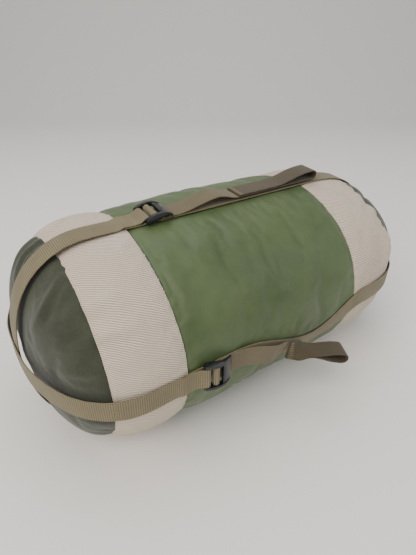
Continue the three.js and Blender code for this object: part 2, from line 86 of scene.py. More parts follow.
def mix(low: Any, high: Any, share: Any) -> Any:
    """Returns the value that lies at share between low and high."""
    return low + (high - low) * share


def eased(stops: Stops, x: Any) -> Any:
    """Reads a rule given as a few stops.

    Args:
        stops: pairs of place and value, in rising order of place.
        x: the place or places to read at.

    Returns:
        The value at x, eased from stop to stop and level beyond the ends.
    """
    value = np.full(np.shape(x), stops[0][1], float)
    for (near, low), (far, high) in zip(stops, stops[1:]):
        value = value + (high - low) * smooth((np.asarray(x) - near) / (far - near))
    return value


def soft_floor(height: Any, floor: Any, reach: float) -> Any:
    """Keeps a height above a floor, with a rounded turn of that reach."""
    share = np.clip(0.5 + 0.5 * (floor - height) / reach, 0.0, 1.0)
    return mix(height, floor, share) + reach * share * (1.0 - share)


def unit(vectors: np.ndarray) -> np.ndarray:
    """Scales vectors to length 1 along their last axis."""
    return vectors / np.maximum(np.linalg.norm(vectors, axis=-1, keepdims=True), 1e-12)


def smooth_noise(points: np.ndarray, size: float, seed: float) -> np.ndarray:
    """Reads smooth noise.

    Args:
        points: places, with three numbers in the last axis.
        size: the distance across one lump.
        seed: picks one pattern out of many.

    Returns:
        One number from about -1 to 1 for each place.
    """
    flat = points.reshape(-1, 3) / size
    shift = Vector((seed, 2.3 * seed, -1.7 * seed))
    values = [noise.noise(Vector(place) + shift) for place in flat]
    return np.array(values).reshape(points.shape[:-1])


def joint_place(name: str) -> Vector:
    """Returns the place of a named joint of the frame."""
    found = next(joint for joint in frame["joints"] if joint["name"] == name)
    return Vector(found["pos_m"])


# ------------------------------------------------------------------ finishes


def linear(code: str) -> tuple[float, float, float, float]:
    """Turns an sRGB hex colour into the linear colour that a shader takes."""
    channels = [int(code[place:place + 2], 16) / 255 for place in (1, 3, 5)]
    bent = [c / 12.92 if c <= 0.04045 else ((c + 0.055) / 1.055) ** 2.4 for c in channels]
    return (bent[0], bent[1], bent[2], 1.0)


def add_node(
    tree: bpy.types.NodeTree,
    kind: str,
    inputs: dict[str | int, Any] | None = None,
    **settings: Any,
) -> bpy.types.Node:
    """Adds one node.

    Args:
        tree: the node tree it goes into.
        kind: the node's type.
        inputs: socket name or number, with a value or the socket that feeds it.
        **settings: the node's own options.

    Returns:
        The new node.
    """
    node = tree.nodes.new(kind)
    for name, value in settings.items():
        setattr(node, name, value)
    for name, value in (inputs or {}).items():
        if isinstance(value, bpy.types.NodeSocket):
            tree.links.new(value, node.inputs[name])
        else:
            node.inputs[name].default_value = value
    return node


@dataclass(frozen=True)
class Finish:
    """What every finish shares: a name, two colours and a principled shader."""

    name: str
    light: str
    dark: str
    roughness: float

    def make(self) -> bpy.types.Material:
        """Builds the material.

        Returns:
            The material with its nodes in place.
        """
        material = bpy.data.materials.new(self.name)
        material.use_nodes = True
        tree = material.node_tree
        tree.nodes.clear()
        shader = add_node(tree, "ShaderNodeBsdfPrincipled", {"Roughness": self.roughness})
        output = add_node(tree, "ShaderNodeOutputMaterial")
        tree.links.new(shader.outputs[0], output.inputs[0])
        material.diffuse_color = linear(self.light)
        self.dress(tree, shader)
        return material

    def dress(self, tree: bpy.types.NodeTree, shader: bpy.types.Node) -> None:
        """Adds the finish's own colour, grain and relief. Each finish has its own."""
        raise NotImplementedError

    def blotches(self, tree: bpy.types.NodeTree, size: float, sharp: float) -> bpy.types.NodeSocket:
        """Adds soft cloudy noise on object coordinates.

        Args:
            tree: the material's tree.
            size: the distance across one cloud.
            sharp: how hard the clouds' edges are, from 0 to 0.5.

        Returns:
            A share from 0 to 1.
        """
        place = add_node(tree, "ShaderNodeTexCoord").outputs["Object"]
        cloud = add_node(
            tree, "ShaderNodeTexNoise", {"Vector": place, "Scale": 1 / size, "Detail": 4.0}
        )
        window = add_node(
            tree,
            "ShaderNodeMapRange",
            {"Value": cloud.outputs["Fac"], "From Min": 0.25 + sharp, "From Max": 0.75 - sharp},
        )
        return window.outputs["Result"]

    def colours(
        self, tree: bpy.types.NodeTree, share: bpy.types.NodeSocket, low: Any, high: Any
    ) -> bpy.types.NodeSocket:
        """Mixes two colours by a share and returns the result's socket."""
        blend = add_node(tree, "ShaderNodeMix", data_type="RGBA")
        tree.links.new(share, blend.inputs[0])
        for socket, value in ((blend.inputs[6], low), (blend.inputs[7], high)):
            if isinstance(value, bpy.types.NodeSocket):
                tree.links.new(value, socket)
            else:
                socket.default_value = linear(value)
        return blend.outputs[2]

    def relief(
        self,
        tree: bpy.types.NodeTree,
        shader: bpy.types.Node,
        heights: Sequence[tuple[bpy.types.NodeSocket, float]],
    ) -> None:
        """Stacks bumps on the shader.

        Args:
            tree: the material's tree.
            shader: the shader that takes the relief.
            heights: pairs of a height socket and its real depth in metres.
        """
        normal = None
        for height, depth in heights:
            inputs = {"Height": height, "Distance": depth, "Strength": 1.0}
            if normal is not None:
                inputs["Normal"] = normal
            normal = add_node(tree, "ShaderNodeBump", inputs).outputs["Normal"]
        tree.links.new(normal, shader.inputs["Normal"])

    def waves(
        self,
        tree: bpy.types.NodeTree,
        along: float,
        across: float,
        pitch: float,
        wobble: float = 0.0,
    ) -> bpy.types.NodeSocket:
        """Adds parallel ridges on the piece's own UV map, which is in metres.

        Args:
            tree: the material's tree.
            along: the ridges' step in U.
            across: the ridges' step in V.
            pitch: the distance from ridge to ridge.
            wobble: how far, in ridges, the threads stray.

        Returns:
            A height from 0 to 1.
        """
        place = add_node(tree, "ShaderNodeUVMap", uv_map="cloth").outputs["UV"]
        length = math.hypot(along, across)
        step = (along / length / pitch, across / length / pitch, 0.0)
        dot = add_node(tree, "ShaderNodeVectorMath", {0: place, 1: step}, operation="DOT_PRODUCT")
        phase = dot.outputs["Value"]
        if wobble:
            stray = add_node(
                tree, "ShaderNodeTexNoise", {"Vector": place, "Scale": 0.09 / pitch, "Detail": 2.0}
            )
            phase = add_node(
                tree,
                "ShaderNodeMath",
                {0: stray.outputs["Fac"], 1: wobble, 2: phase},
                operation="MULTIPLY_ADD",
            ).outputs[0]
        turns = add_node(tree, "ShaderNodeMath", {0: phase, 1: 2 * math.pi}, operation="MULTIPLY")
        wave = add_node(tree, "ShaderNodeMath", {0: turns.outputs[0]}, operation="SINE")
        return add_node(
            tree, "ShaderNodeMath", {0: wave.outputs[0], 1: 0.5, 2: 0.5}, operation="MULTIPLY_ADD"
        ).outputs[0]


@dataclass(frozen=True)
class CoatedNylon(Finish):
    """PU-coated nylon pack cloth: smooth and faintly waxy, with soft handling marks."""

    grain: float = 1.6 * MM  # threads of 0.3 mm, drawn coarser so that they show

    def dress(self, tree: bpy.types.NodeTree, shader: bpy.types.Node) -> None:
        """Adds blotches, a fine plain weave and small crinkles."""
        cloud = self.blotches(tree, 70 * MM, 0.05)
        marks = self.blotches(tree, 17 * MM, 0.1)
        base = self.colours(tree, cloud, self.dark, self.light)
        faint = add_node(tree, "ShaderNodeMath", {0: marks, 1: 0.16}, operation="MULTIPLY")
        scuffed = self.colours(tree, faint.outputs[0], base, "#66704f")
        tree.links.new(scuffed, shader.inputs["Base Color"])
        gloss = add_node(
            tree,
            "ShaderNodeMapRange",
            {"Value": marks, "To Min": self.roughness - 0.05, "To Max": self.roughness + 0.1},
        )
        tree.links.new(gloss.outputs["Result"], shader.inputs["Roughness"])
        shader.inputs["Sheen Weight"].default_value = 0.08
        weave = self.waves(tree, 1.0, 0.0, self.grain)
        cross = self.waves(tree, 0.0, 1.0, self.grain)
        creases = self.blotches(tree, 9 * MM, 0.0)
        depths = [(creases, 0.35 * MM), (weave, 0.02 * MM), (cross, 0.02 * MM)]
        self.relief(tree, shader, depths)


@dataclass(frozen=True)
class Oxford(Finish):
    """Polyester oxford in a twill: matte, with raised diagonal ribs and a cross thread."""

    rib: float = 2.2 * MM  # ribs of 1 mm, drawn coarser so that they show

    def dress(self, tree: bpy.types.NodeTree, shader: bpy.types.Node) -> None:
        """Adds the ribs in relief and in colour, and cloudy wear."""
        rib = self.waves(tree, 1.0, 0.55, self.rib, 1.2)
        cross = self.waves(tree, -0.55, 1.0, 0.6 * self.rib, 0.8)
        thread = add_node(
            tree, "ShaderNodeMath", {0: cross, 1: 0.35, 2: rib}, operation="MULTIPLY_ADD"
        ).outputs[0]
        share = add_node(tree, "ShaderNodeMath", {0: thread, 1: 0.74}, operation="MULTIPLY")
        base = self.colours(tree, share.outputs[0], self.dark, self.light)
        cloud = self.blotches(tree, 45 * MM, 0.08)
        worn = add_node(tree, "ShaderNodeMath", {0: cloud, 1: 0.5}, operation="MULTIPLY")
        colour = self.colours(tree, worn.outputs[0], base, "#bfae9b")
        tree.links.new(colour, shader.inputs["Base Color"])
        shader.inputs["Sheen Weight"].default_value = 0.15
        shader.inputs["Sheen Roughness"].default_value = 0.6
        self.relief(
            tree, shader, [(self.blotches(tree, 16 * MM, 0.0), 0.9 * MM), (thread, 0.4 * MM)]
        )


@dataclass(frozen=True)
class CapCloth(Finish):
    """Brushed polyester cap cloth: dark, dry and fine, paler where its pleats rub."""

    grain: float = 1.3 * MM  # threads of 0.4 mm, drawn coarser so that they show

    def dress(self, tree: bpy.types.NodeTree, shader: bpy.types.Node) -> None:
        """Adds rubbed clouds and a plain weave."""
        cloud = self.blotches(tree, 38 * MM, 0.05)
        fuzz = self.blotches(tree, 3 * MM, 0.0)
        base = self.colours(tree, cloud, self.dark, self.light)
        faint = add_node(tree, "ShaderNodeMath", {0: fuzz, 1: 0.22}, operation="MULTIPLY")
        colour = self.colours(tree, faint.outputs[0], base, "#4b4f3b")
        tree.links.new(colour, shader.inputs["Base Color"])
        shader.inputs["Sheen Weight"].default_value = 0.2
        shader.inputs["Sheen Roughness"].default_value = 0.5
        weave = self.waves(tree, 1.0, 0.0, self.grain)
        cross = self.waves(tree, 0.0, 1.0, self.grain)
        self.relief(
            tree,
            shader,
            [(cloud, 0.7 * MM), (weave, 0.08 * MM), (cross, 0.08 * MM), (fuzz, 0.1 * MM)],
        )


@dataclass(frozen=True)
class Webbing(Finish):
    """Woven polyester webbing: ribs across it from the weft, over fine lengthways warp."""

    rib: float = 2.2 * MM  # weft of 1.2 mm, drawn coarser so that it shows
    warp: float = 1.9 * MM

    def dress(self, tree: bpy.types.NodeTree, shader: bpy.types.Node) -> None:
        """Adds the ribs, the warp and some fading."""
        rib = self.waves(tree, 0.0, 1.0, self.rib, 0.5)
        warp = self.waves(tree, 1.0, 0.12, self.warp, 0.3)
        thread = add_node(
            tree, "ShaderNodeMath", {0: warp, 1: 0.4, 2: rib}, operation="MULTIPLY_ADD"
        ).outputs[0]
        share = add_node(tree, "ShaderNodeMath", {0: thread, 1: 0.7}, operation="MULTIPLY")
        base = self.colours(tree, share.outputs[0], self.dark, self.light)
        cloud = self.blotches(tree, 28 * MM, 0.1)
        faded = add_node(tree, "ShaderNodeMath", {0: cloud, 1: 0.3}, operation="MULTIPLY")
        colour = self.colours(tree, faded.outputs[0], base, self.dark)
        tree.links.new(colour, shader.inputs["Base Color"])
        shader.inputs["Sheen Weight"].default_value = 0.12
        self.relief(tree, shader, [(rib, 0.28 * MM), (warp, 0.12 * MM)])


@dataclass(frozen=True)
class Acetal(Finish):
    """Injection-moulded acetal: black and satin, with a spark-eroded grain."""

    def dress(self, tree: bpy.types.NodeTree, shader: bpy.types.Node) -> None:
        """Adds handling haze and a fine mould grain."""
        haze = self.blotches(tree, 6 * MM, 0.1)
        grain = self.blotches(tree, 0.5 * MM, 0.0)
        colour = self.colours(tree, haze, self.dark, self.light)
        tree.links.new(colour, shader.inputs["Base Color"])
        gloss = add_node(
            tree,
            "ShaderNodeMapRange",
            {"Value": haze, "To Min": self.roughness - 0.06, "To Max": self.roughness + 0.08},
        )
        tree.links.new(gloss.outputs["Result"], shader.inputs["Roughness"])
        shader.inputs["IOR"].default_value = 1.48
        self.relief(tree, shader, [(grain, 0.03 * MM)])


@dataclass(frozen=True)
class Thread(Finish):
    """Spun polyester sewing thread, and the tape and filling that are as plain as it is."""

    fibre: float = 0.6 * MM

    def dress(self, tree: bpy.types.NodeTree, shader: bpy.types.Node) -> None:
        """Adds fibre-sized noise."""
        fuzz = self.blotches(tree, self.fibre, 0.05)
        colour = self.colours(tree, fuzz, self.dark, self.light)
        tree.links.new(colour, shader.inputs["Base Color"])
        shader.inputs["Sheen Weight"].default_value = 0.2
        self.relief(tree, shader, [(fuzz, 0.08 * MM)])


class Cloth(Enum):
    """The sack's finishes, each with the record's slot that it fills."""

    NYLON = ("coated_nylon", CoatedNylon("PU-coated nylon", "#47592f", "#3b4c28", 0.5))
    OXFORD = ("taupe_oxford", Oxford("polyester oxford twill", "#eddfcd", "#86755f", 0.88))
    CAP = ("cap_cloth", CapCloth("brushed cap cloth", "#343928", "#24271b", 0.92))
    WEBBING = ("webbing", Webbing("woven polyester webbing", "#8a7f60", "#574e38", 0.8))
    DARK_WEBBING = ("dark_webbing", Webbing("worn webbing", "#7a7052", "#473e2b", 0.82))
    # The pull loops' webbing: the tails' dark webbing made darker, as painted shade for the loops'
    # faces that lie in shadow.
    SHADED_WEBBING = ("dark_webbing", Webbing("webbing with painted shade", "#5a5039", "#342c1d", 0.84))
    ACETAL = ("black_acetal", Acetal("moulded acetal", "#1f2022", "#101112", 0.27))
    TAPE = ("seam_tape", Thread("woven bias tape", "#3a3f31", "#262a20", 0.9))
    FILLING = ("filling", Thread("packed ripstop shell", "#9a9d93", "#777b70", 0.7, 12 * MM))
    LIGHT_THREAD = ("webbing", Thread("bonded thread", "#938765", "#6d6246", 0.75))
    # Pale thread for the hems and seams; the row by the lid's rim also stands in for the thin highlight
    # along the folded edge.
    PALE_THREAD = ("taupe_oxford", Thread("pale bonded thread", "#e6dac8", "#c3b5a2", 0.7))

    @property
    def slot(self) -> str:
        """The record's material slot."""
        return self.value[0]

    @property
    def finish(self) -> Finish:
        """The finish behind the name."""
        return self.value[1]

    def material(self) -> bpy.types.Material:
        """Returns the finish's material, which is built the first time."""
        made = bpy.data.materials.get(self.finish.name)
        return made or self.finish.make()


# ------------------------------------------------------------------ pieces


def make_object(
    name: str,
    points: np.ndarray,
    faces: Sequence[Sequence[int]],
    uvs: Sequence[Sequence[tuple[float, float]]] | None = None,
) -> bpy.types.Object:
    """Builds a mesh object at the origin.

    Args:
        name: the piece's name.
        points: its corners.
        faces: the corners of each face.
        uvs: a place on the cloth, in metres, for each corner of each face.

    Returns:
        The object, smooth-shaded and in the scene.
    """
    mesh = bpy.data.meshes.new(name)
    mesh.from_pydata([tuple(point) for point in points], [], [tuple(face) for face in faces])
    if uvs is not None:
        layer = mesh.uv_layers.new(name="cloth")
        flat = [number for face in uvs for corner in face for number in corner]
        layer.data.foreach_set("uv", flat)
    mesh.shade_smooth()
    made = bpy.data.objects.new(name, mesh)
    bpy.context.scene.collection.objects.link(made)
    return made


def face_outwards(piece: bpy.types.Object) -> None:
    """Turns a closed mesh's faces outwards."""
    work = bmesh.new()
    work.from_mesh(piece.data)
    bmesh.ops.recalc_face_normals(work, faces=work.faces)
    if work.calc_volume(signed=True) < 0:
        bmesh.ops.reverse_faces(work, faces=work.faces)
    work.to_mesh(piece.data)
    work.free()


def flatten_modifiers(piece: bpy.types.Object) -> None:
    """Replaces a piece's mesh by its evaluated one and drops its modifiers."""
    graph = bpy.context.evaluated_depsgraph_get()
    made = bpy.data.meshes.new_from_object(piece.evaluated_get(graph))
    piece.modifiers.clear()
    piece.data = made


def subdivide(piece: bpy.types.Object) -> None:
    """Rounds a piece with one level of subdivision."""
    rounding = piece.modifiers.new("Rounding", "SUBSURF")
    rounding.levels = 1
    rounding.render_levels = 1
    rounding.boundary_smooth = "PRESERVE_CORNERS"
    flatten_modifiers(piece)


def place_piece(
    piece: bpy.types.Object, cloth: Cloth, body: str, nodes: Sequence[str] = ()
) -> bpy.types.Object:
    """Gives a finished mesh its material and its place in the frame.

    Args:
        piece: the mesh object.
        cloth: its finish.
        body: the body that it rides on.
        nodes: the CAD nodes that it stands for.

    Returns:
        The same object.
    """
    piece.data.materials.clear()
    piece.data.materials.append(cloth.material())
    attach(piece, body)
    if nodes:
        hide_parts(*nodes)
    LOG.info("%s rides on %s with %d faces", piece.name, body, len(piece.data.polygons))
    return piece


# ------------------------------------------------------------------ the stuffed form


@dataclass(frozen=True)
class EndForm:
    """One domed end of the sack, as places along X."""

    rim: float
    shoulder: float
    seam: float
    pole: float
    flat: float
    bulge: float

    def share(self, x: Any) -> Any:
        """Returns the share of the full section that is left at x."""
        reach = np.clip((x - self.shoulder) / (self.pole - self.shoulder), 0.0, 1.0)
        return (1.0 - reach ** self.flat) ** (1.0 / self.bulge)


@dataclass(frozen=True)
class Strap:
    """One lengthways line of webbing."""

    place: str
    angle: float
    sag: float
    bump: float
    mouth: float
    loop_end: float
    droop_from: float = -0.0745
    droop_to: float = 0.0495

    @property
    def buckle_x(self) -> float:
        """Where the buckle's anchor bar lies."""
        return joint_place(f"buckle_tilt_{self.place}").x

    @property
    def tack_x(self) -> float:
        """Where the pull loop is sewn to the tail."""
        return joint_place(f"pull_loop_swing_{self.place}").x

    def angle_at(self, x: Any) -> Any:
        """Returns the line's angle round the sack at x, in radians."""
        away = [(self.droop_from, 0.0), (self.droop_to, self.sag), (0.1435, 0.0)]
        sign = 1.0 if self.angle > 90 else -1.0
        return np.radians(self.angle + sign * eased(away, x))


@dataclass(frozen=True)
class SackForm:
    """The rule for the sack's outer skin, and for the four lines of webbing on it."""

    lid: EndForm
    base: EndForm
    straps: dict[str, Strap]
    half_width: float = 0.140
    half_height: float = 0.1235
    pressed: float = 0.0062
    lid_proud: float = 0.0006
    lift: float = 0.001
    layer_pitch: float = 0.0019
    web_half: float = 0.0125
    web_thick: float = 0.0014
    strip_half: float = 0.0132
    strap_recess: float = 0.002
    tail_recess: float = 0.0058
    lid_recess: float = 0.0109
    buckle_recess: float = 0.0138
    buckle_half: float = 0.0182
    exit_x: float = -0.0579
    exit_ramp: float = 0.011
    loop_end: float = 0.1535
    edge: float = 0.005
    buckle_edge: float = 0.010

    @classmethod
    def from_frame(cls) -> "SackForm":
        """Reads the seams and the poles from the frame's nodes."""
        lid_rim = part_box("lid_skirt")[1].x
        base_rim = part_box("base_band")[0].x
        lid = EndForm(
            lid_rim, lid_rim - 0.0188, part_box("lid_cap")[1].x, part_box("lid_cap")[0].x, 2.9, 2.26
        )
        base = EndForm(
            base_rim, base_rim + 0.0142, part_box("base_cap")[0].x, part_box("base_cap")[1].x, 2.4, 3.34
        )
        straps = {
            "top": Strap("top", 83, 0, 0.009, 0.009, 0.1455),
            "front": Strap("front", -2, 16, 0.007, 0.010, 0.0),
            "back": Strap("back", 182, 16, 0.007, 0.010, 0.0),
            "bottom": Strap("bottom", -90, 0, 0.0, 0.0, 0.1455),
        }
        return cls(lid, base, straps)

    @property
    def axis_height(self) -> float:
        """Height of the sack's axis over whatever it lies on."""
        return self.half_height - self.pressed

    def floor(self, x: Any, y: Any) -> Any:
        """Returns how high the cloth is pushed up by the strap and the buckle under it."""
        across = np.abs(y)
        strip = fade(across, self.strip_half, self.strip_half + self.edge)
        past_loop = fade(x, self.loop_end, self.loop_end + self.edge)
        tail = mix(self.strap_recess, self.tail_recess, past_loop)
        pocket = fade(across, self.buckle_half, self.buckle_half + self.buckle_edge)
        pocket = pocket * fade(x, self.exit_x, self.exit_x + self.exit_ramp)
        body = np.maximum(tail * strip, self.buckle_recess * pocket)
        near_rim = fade(x, self.lid.rim, self.lid.shoulder)
        lid = mix(self.strap_recess, self.lid_recess, near_rim) * strip
        return np.where(np.asarray(x) < self.lid.rim, lid, body)

    def cloth(self, x: Any, angle: Any) -> np.ndarray:
        """Returns the outer cloth's places at x and angle, pressed flat where it rests."""
        x, angle = np.broadcast_arrays(x, angle)
        proud = np.where(x < self.lid.rim, self.lid_proud, 0.0)
        share = self.lid.share(x) * self.base.share(x)
        y = -(self.half_width + proud) * share * np.cos(angle)
        z = self.axis_height + (self.half_height + proud) * share * np.sin(angle)
        z = soft_floor(z, self.floor(x, y), 0.0025)
        return np.stack([x, y, z], -1)

    def gap_to_strap(self, x: Any, angle: Any) -> Any:
        """Returns the distance along the cloth from the nearest strap's or buckle's edge."""
        x, angle = np.broadcast_arrays(x, angle)
        share = self.lid.share(x) * self.base.share(x)
        nearest = np.full(x.shape, 1.0)
        for strap in self.straps.values():
            turn = np.abs((angle - strap.angle_at(x) + np.pi) % (2 * np.pi) - np.pi)
            on_buckle = (x > strap.buckle_x - 0.008) & (x < strap.buckle_x + 0.034)
            half = np.where(on_buckle, 0.0175, self.web_half + 0.0005)
            nearest = np.minimum(nearest, turn * share * self.half_height - half)
        return np.maximum(nearest, 0.0)


@dataclass(frozen=True)
class Fold:
    """One soft fold of cloth, from one place to another, each as x and degrees."""

    start: tuple[float, float]
    end: tuple[float, float]
    width: float
    height: float

    def lift(self, x: np.ndarray, angle: np.ndarray, radius: float) -> np.ndarray:
        """Returns the fold's height at each place of a skin of that radius."""
        here = np.stack([x, radius * angle], -1)
        first = np.array([self.start[0], radius * math.radians(self.start[1])])
        last = np.array([self.end[0], radius * math.radians(self.end[1])])
        run = last - first
        share = np.clip(((here - first) @ run) / (run @ run), 0.0, 1.0)
        away = np.linalg.norm(here - first - share[..., None] * run, axis=-1)
        taper = 0.35 + 0.65 * np.sin(np.pi * np.clip(share, 0.02, 0.98))
        return self.height * taper * np.exp(-(away / self.width) ** 2)


@dataclass
class Stuffing:
    """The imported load's press on the cloth, as relief on the skin and as a cloth simulation."""

    form: SackForm
    lump: float = 0.0022
    seam_pull: float = 0.0013
    seam_width: float = 0.0024
    pucker: float = 0.0011
    swell_cap: float = 0.0082
    slide_cap: float = 0.002
    swell_free: float = 0.013
    slide_free: float = 0.02
    web_edge: float = 0.001
    web_grip: float = 0.010
    seam_grip: float = 0.007
    ground_edge: float = 0.004
    ground_grip: float = 0.02
    pressure: float = 4.0
    frames: int = 20
    angles: np.ndarray = field(init=False)
    stations: dict[str, np.ndarray] = field(init=False)
    skin: dict[str, np.ndarray] = field(init=False)
    folds: tuple[Fold, ...] = (
        Fold((-0.2115, 99), (-0.178, 104), 0.0065, 0.0065),
        Fold((-0.2115, 107), (-0.188, 111), 0.0050, -0.0030),
        Fold((-0.2442, 104), (-0.2150, 98), 0.0048, 0.0052),
        Fold((-0.2424, 96), (-0.2150, 92.5), 0.0042, 0.0045),
        Fold((-0.2380, 99.5), (-0.2160, 95.3), 0.0028, -0.0030),
        Fold((-0.2440, 114), (-0.2160, 110), 0.0050, 0.0035),
        Fold((-0.2166, 66.5), (-0.2470, 53), 0.0050, 0.0045),
        Fold((-0.2160, 60.5), (-0.2300, 54), 0.0038, 0.0034),
        Fold((-0.2160, 63.5), (-0.2400, 50), 0.0030, -0.0022),
        Fold((-0.2118, 42.5), (-0.2000, 40.8), 0.0040, -0.0024),
        Fold((-0.2118, 49), (-0.1880, 47), 0.0070, 0.0034),
        Fold((-0.2110, 36), (-0.1880, 33), 0.0065, 0.0042),
        Fold((-0.2120, 28.8), (-0.2032, 28.2), 0.0040, -0.0026),
        Fold((-0.2032, 28.2), (-0.1916, 20.8), 0.0044, -0.0026),
        Fold((-0.2140, 36), (-0.2300, 38), 0.0038, -0.0026),
        Fold((-0.2140, 30), (-0.2380, 33), 0.0052, 0.0036),
        Fold((-0.2150, 19), (-0.2400, 20), 0.0055, 0.0030),
        Fold((0.1720, 64), (0.2040, 43), 0.0080, 0.0052),
        Fold((0.1780, 48), (0.2055, 56), 0.0080, -0.0036),
        Fold((0.2030, 36), (0.1960, 12), 0.0120, 0.0076),
        Fold((0.2400, 60), (0.2080, 62), 0.0060, -0.0030),
        Fold((0.2050, 116), (0.1680, 122), 0.0070, 0.0038),
        Fold((-0.2050, 150), (-0.1600, 148), 0.0060, 0.0034),
        Fold((0.2050, 152), (0.1600, 150), 0.0060, 0.0034),
    )

    def __post_init__(self) -> None:
        """Lays out the grid and settles the cloth on it."""
        self.angles = self.round_angles()
        self.stations = self.panel_stations()
        self.skin = {}
        self.settle()

    def round_angles(self) -> np.ndarray:
        """Returns angles round the sack from its underside, closer together under it."""
        under = np.linspace(-0.26, 0.26, 33)[:-1]
        over = np.linspace(0.26, 2 * np.pi - 0.26, 153)[:-1]
        return np.concatenate([under, over]) - np.pi / 2

    def between(self, first: float, last: float) -> np.ndarray:
        """Returns stations from one seam to another, closer together at both."""
        near = np.array([0.0, 0.0009, 0.002, 0.0036, 0.006])
        count = max(int((last - first - 0.012) / 0.0046), 2)
        middle = np.linspace(first + 0.006, last - 0.006, count + 1)[1:-1]
        return np.concatenate([first + near, middle, last - near[::-1]])

    def dome(self, end: EndForm) -> np.ndarray:
        """Returns stations from a cap seam to the last ring before the pole."""
        turns = np.sin(np.linspace(0.0, np.pi / 2, 27))[:-1]
        near = np.array([0.0, 0.0009, 0.002]) / abs(end.pole - end.seam)
        shares = np.unique(np.concatenate([near, turns[turns > near[-1]]]))
        return end.seam + (end.pole - end.seam) * shares

    def panel_stations(self) -> dict[str, np.ndarray]:
        """Returns each panel's stations, all in rising x."""
        form = self.form
        return {
            "lid_cap": self.dome(form.lid)[::-1],
            "lid_skirt": self.between(form.lid.seam, form.lid.rim),
            "body": self.between(form.lid.rim, form.base.rim),
            "base_band": self.between(form.base.rim, form.base.seam),
            "base_cap": self.dome(form.base),
        }

    def relief(self, x: np.ndarray, angle: np.ndarray, places: np.ndarray) -> np.ndarray:
        """Returns how far the cloth stands off its plain form before it is simulated."""
        form = self.form
        total = self.lump * smooth_noise(places, 0.085, 3.1)
        total += 0.4 * self.lump * smooth_noise(places, 0.034, 8.7)
        radius = form.half_width
        draw = np.random.default_rng(41)
        seams = {
            form.lid.seam: (1.25, 56),
            form.lid.rim: (0.35, 30),
            form.base.rim: (0.55, 44),
            form.base.seam: (1.1, 54),
        }
        for seam, (strength, count) in seams.items():
            away = np.abs(x - seam)
            total = total - self.seam_pull * np.exp(-((away / self.seam_width) ** 2))
            turns = np.linspace(0, 2 * np.pi, count, endpoint=False) - np.pi / 2
            turns = turns + draw.uniform(-0.03, 0.03, count)
            lengths = draw.uniform(0.006, 0.019, count)
            depths = draw.uniform(0.25, 1.0, count) * self.pucker * strength
            widths = draw.uniform(0.0032, 0.0056, count)
            for turn, length, depth, width in zip(turns, lengths, depths, widths):
                side = np.abs((angle - turn + np.pi) % (2 * np.pi) - np.pi) * radius
                total = total - depth * np.exp(-((side / width) ** 2) - away / length)
        for fold in self.folds:
            total = total + fold.lift(x, angle, radius)
        return total

    def normals(self, places: np.ndarray) -> np.ndarray:
        """Returns outward normals of a grid of rings."""
        along = np.gradient(places, axis=0)
        around = np.roll(places, -1, axis=1) - np.roll(places, 1, axis=1)
        out = unit(np.cross(around, along))
        centre = np.array([0.0, 0.0, self.form.axis_height])
        facing = np.sum(out * (places - centre), axis=-1, keepdims=True)
        return np.where(facing.mean() < 0, -out, out)

    def settle(self) -> None:
        """Puts the whole skin on its rule, adds relief, simulates it and keeps it in its room."""
        names = list(self.stations)
        x = np.concatenate([self.stations[name][(0 if name == names[0] else 1):] for name in names])
        rings, turns = np.meshgrid(x, self.angles, indexing="ij")
        plain = self.form.cloth(rings, turns)
        out = self.normals(plain)
        clear = self.form.gap_to_strap(rings, turns)
        room = mix(0.0001, self.swell_cap, smooth(clear / self.swell_free))
        off = np.minimum(self.relief(rings, turns, plain), room)
        off = np.where(clear < 0.0005, np.minimum(off, -0.0002), off)
        shaped = plain + out * off[..., None]
        shaped = self.simulate(rings, shaped, clear)
        moved = shaped - plain
        off = np.clip(np.sum(moved * out, axis=-1), -self.swell_cap, room)
        slide = moved - out * np.sum(moved * out, axis=-1)[..., None]
        slide *= smooth(clear / self.slide_free)[..., None]
        slid_by = np.maximum(np.linalg.norm(slide, axis=-1), 1e-9)
        slide *= np.minimum(1.0, self.slide_cap / slid_by)[..., None]
        final = plain + out * off[..., None] + slide
        lowest = np.maximum(self.form.floor(rings, final[..., 1]), 0.0002)
        final[..., 2] = np.maximum(final[..., 2], lowest)
        first = 0
        for index, name in enumerate(names):
            count = len(self.stations[name])
            first -= 1 if index else 0
            self.skin[name] = final[first:first + count]
            first += count

    def simulate(self, rings: np.ndarray, shaped: np.ndarray, clear: np.ndarray) -> np.ndarray:
        """Inflates the skin as cloth that is held at its seams and under its webbing.

        Args:
            rings: each point's x on the plain form.
            shaped: the skin before the simulation.
            clear: each point's distance from the webbing.

        Returns:
            The skin after it has settled.
        """
        form = self.form
        rows, columns = shaped.shape[:2]
        ends = [[form.lid.pole, 0, form.axis_height], [form.base.pole, 0, form.axis_height]]
        points = np.concatenate([shaped.reshape(-1, 3), ends])
        faces = grid_faces(rows, columns)
        faces += [(rows * columns, j, (j + 1) % columns) for j in range(columns)]
        last = (rows - 1) * columns
        faces += [(rows * columns + 1, last + (j + 1) % columns, last + j) for j in range(columns)]
        load = make_object("stuffing_form", points, faces)
        face_outwards(load)
        held = 1.0 - smooth((clear - self.web_edge) / self.web_grip)
        for seam in (form.lid.seam, form.lid.rim, form.base.rim, form.base.seam):
            held = np.maximum(held, 1.0 - smooth(np.abs(rings - seam) / self.seam_grip))
        above = shaped[..., 2] - self.ground_edge
        held = np.maximum(held, 1.0 - smooth(above / self.ground_grip))
        group = load.vertex_groups.new(name="held")
        for index, weight in enumerate(held.reshape(-1)):
            group.add([index], float(weight), "REPLACE")
        group.add([rows * columns, rows * columns + 1], 1.0, "REPLACE")
        press = load.modifiers.new("Press", "CLOTH")
        cloth = press.settings
        cloth.quality = 5
        cloth.mass = 0.3
        cloth.tension_stiffness = 18
        cloth.compression_stiffness = 18
        cloth.shear_stiffness = 6
        cloth.bending_stiffness = 0.6
        cloth.shrink_min = -0.02
        cloth.use_pressure = True
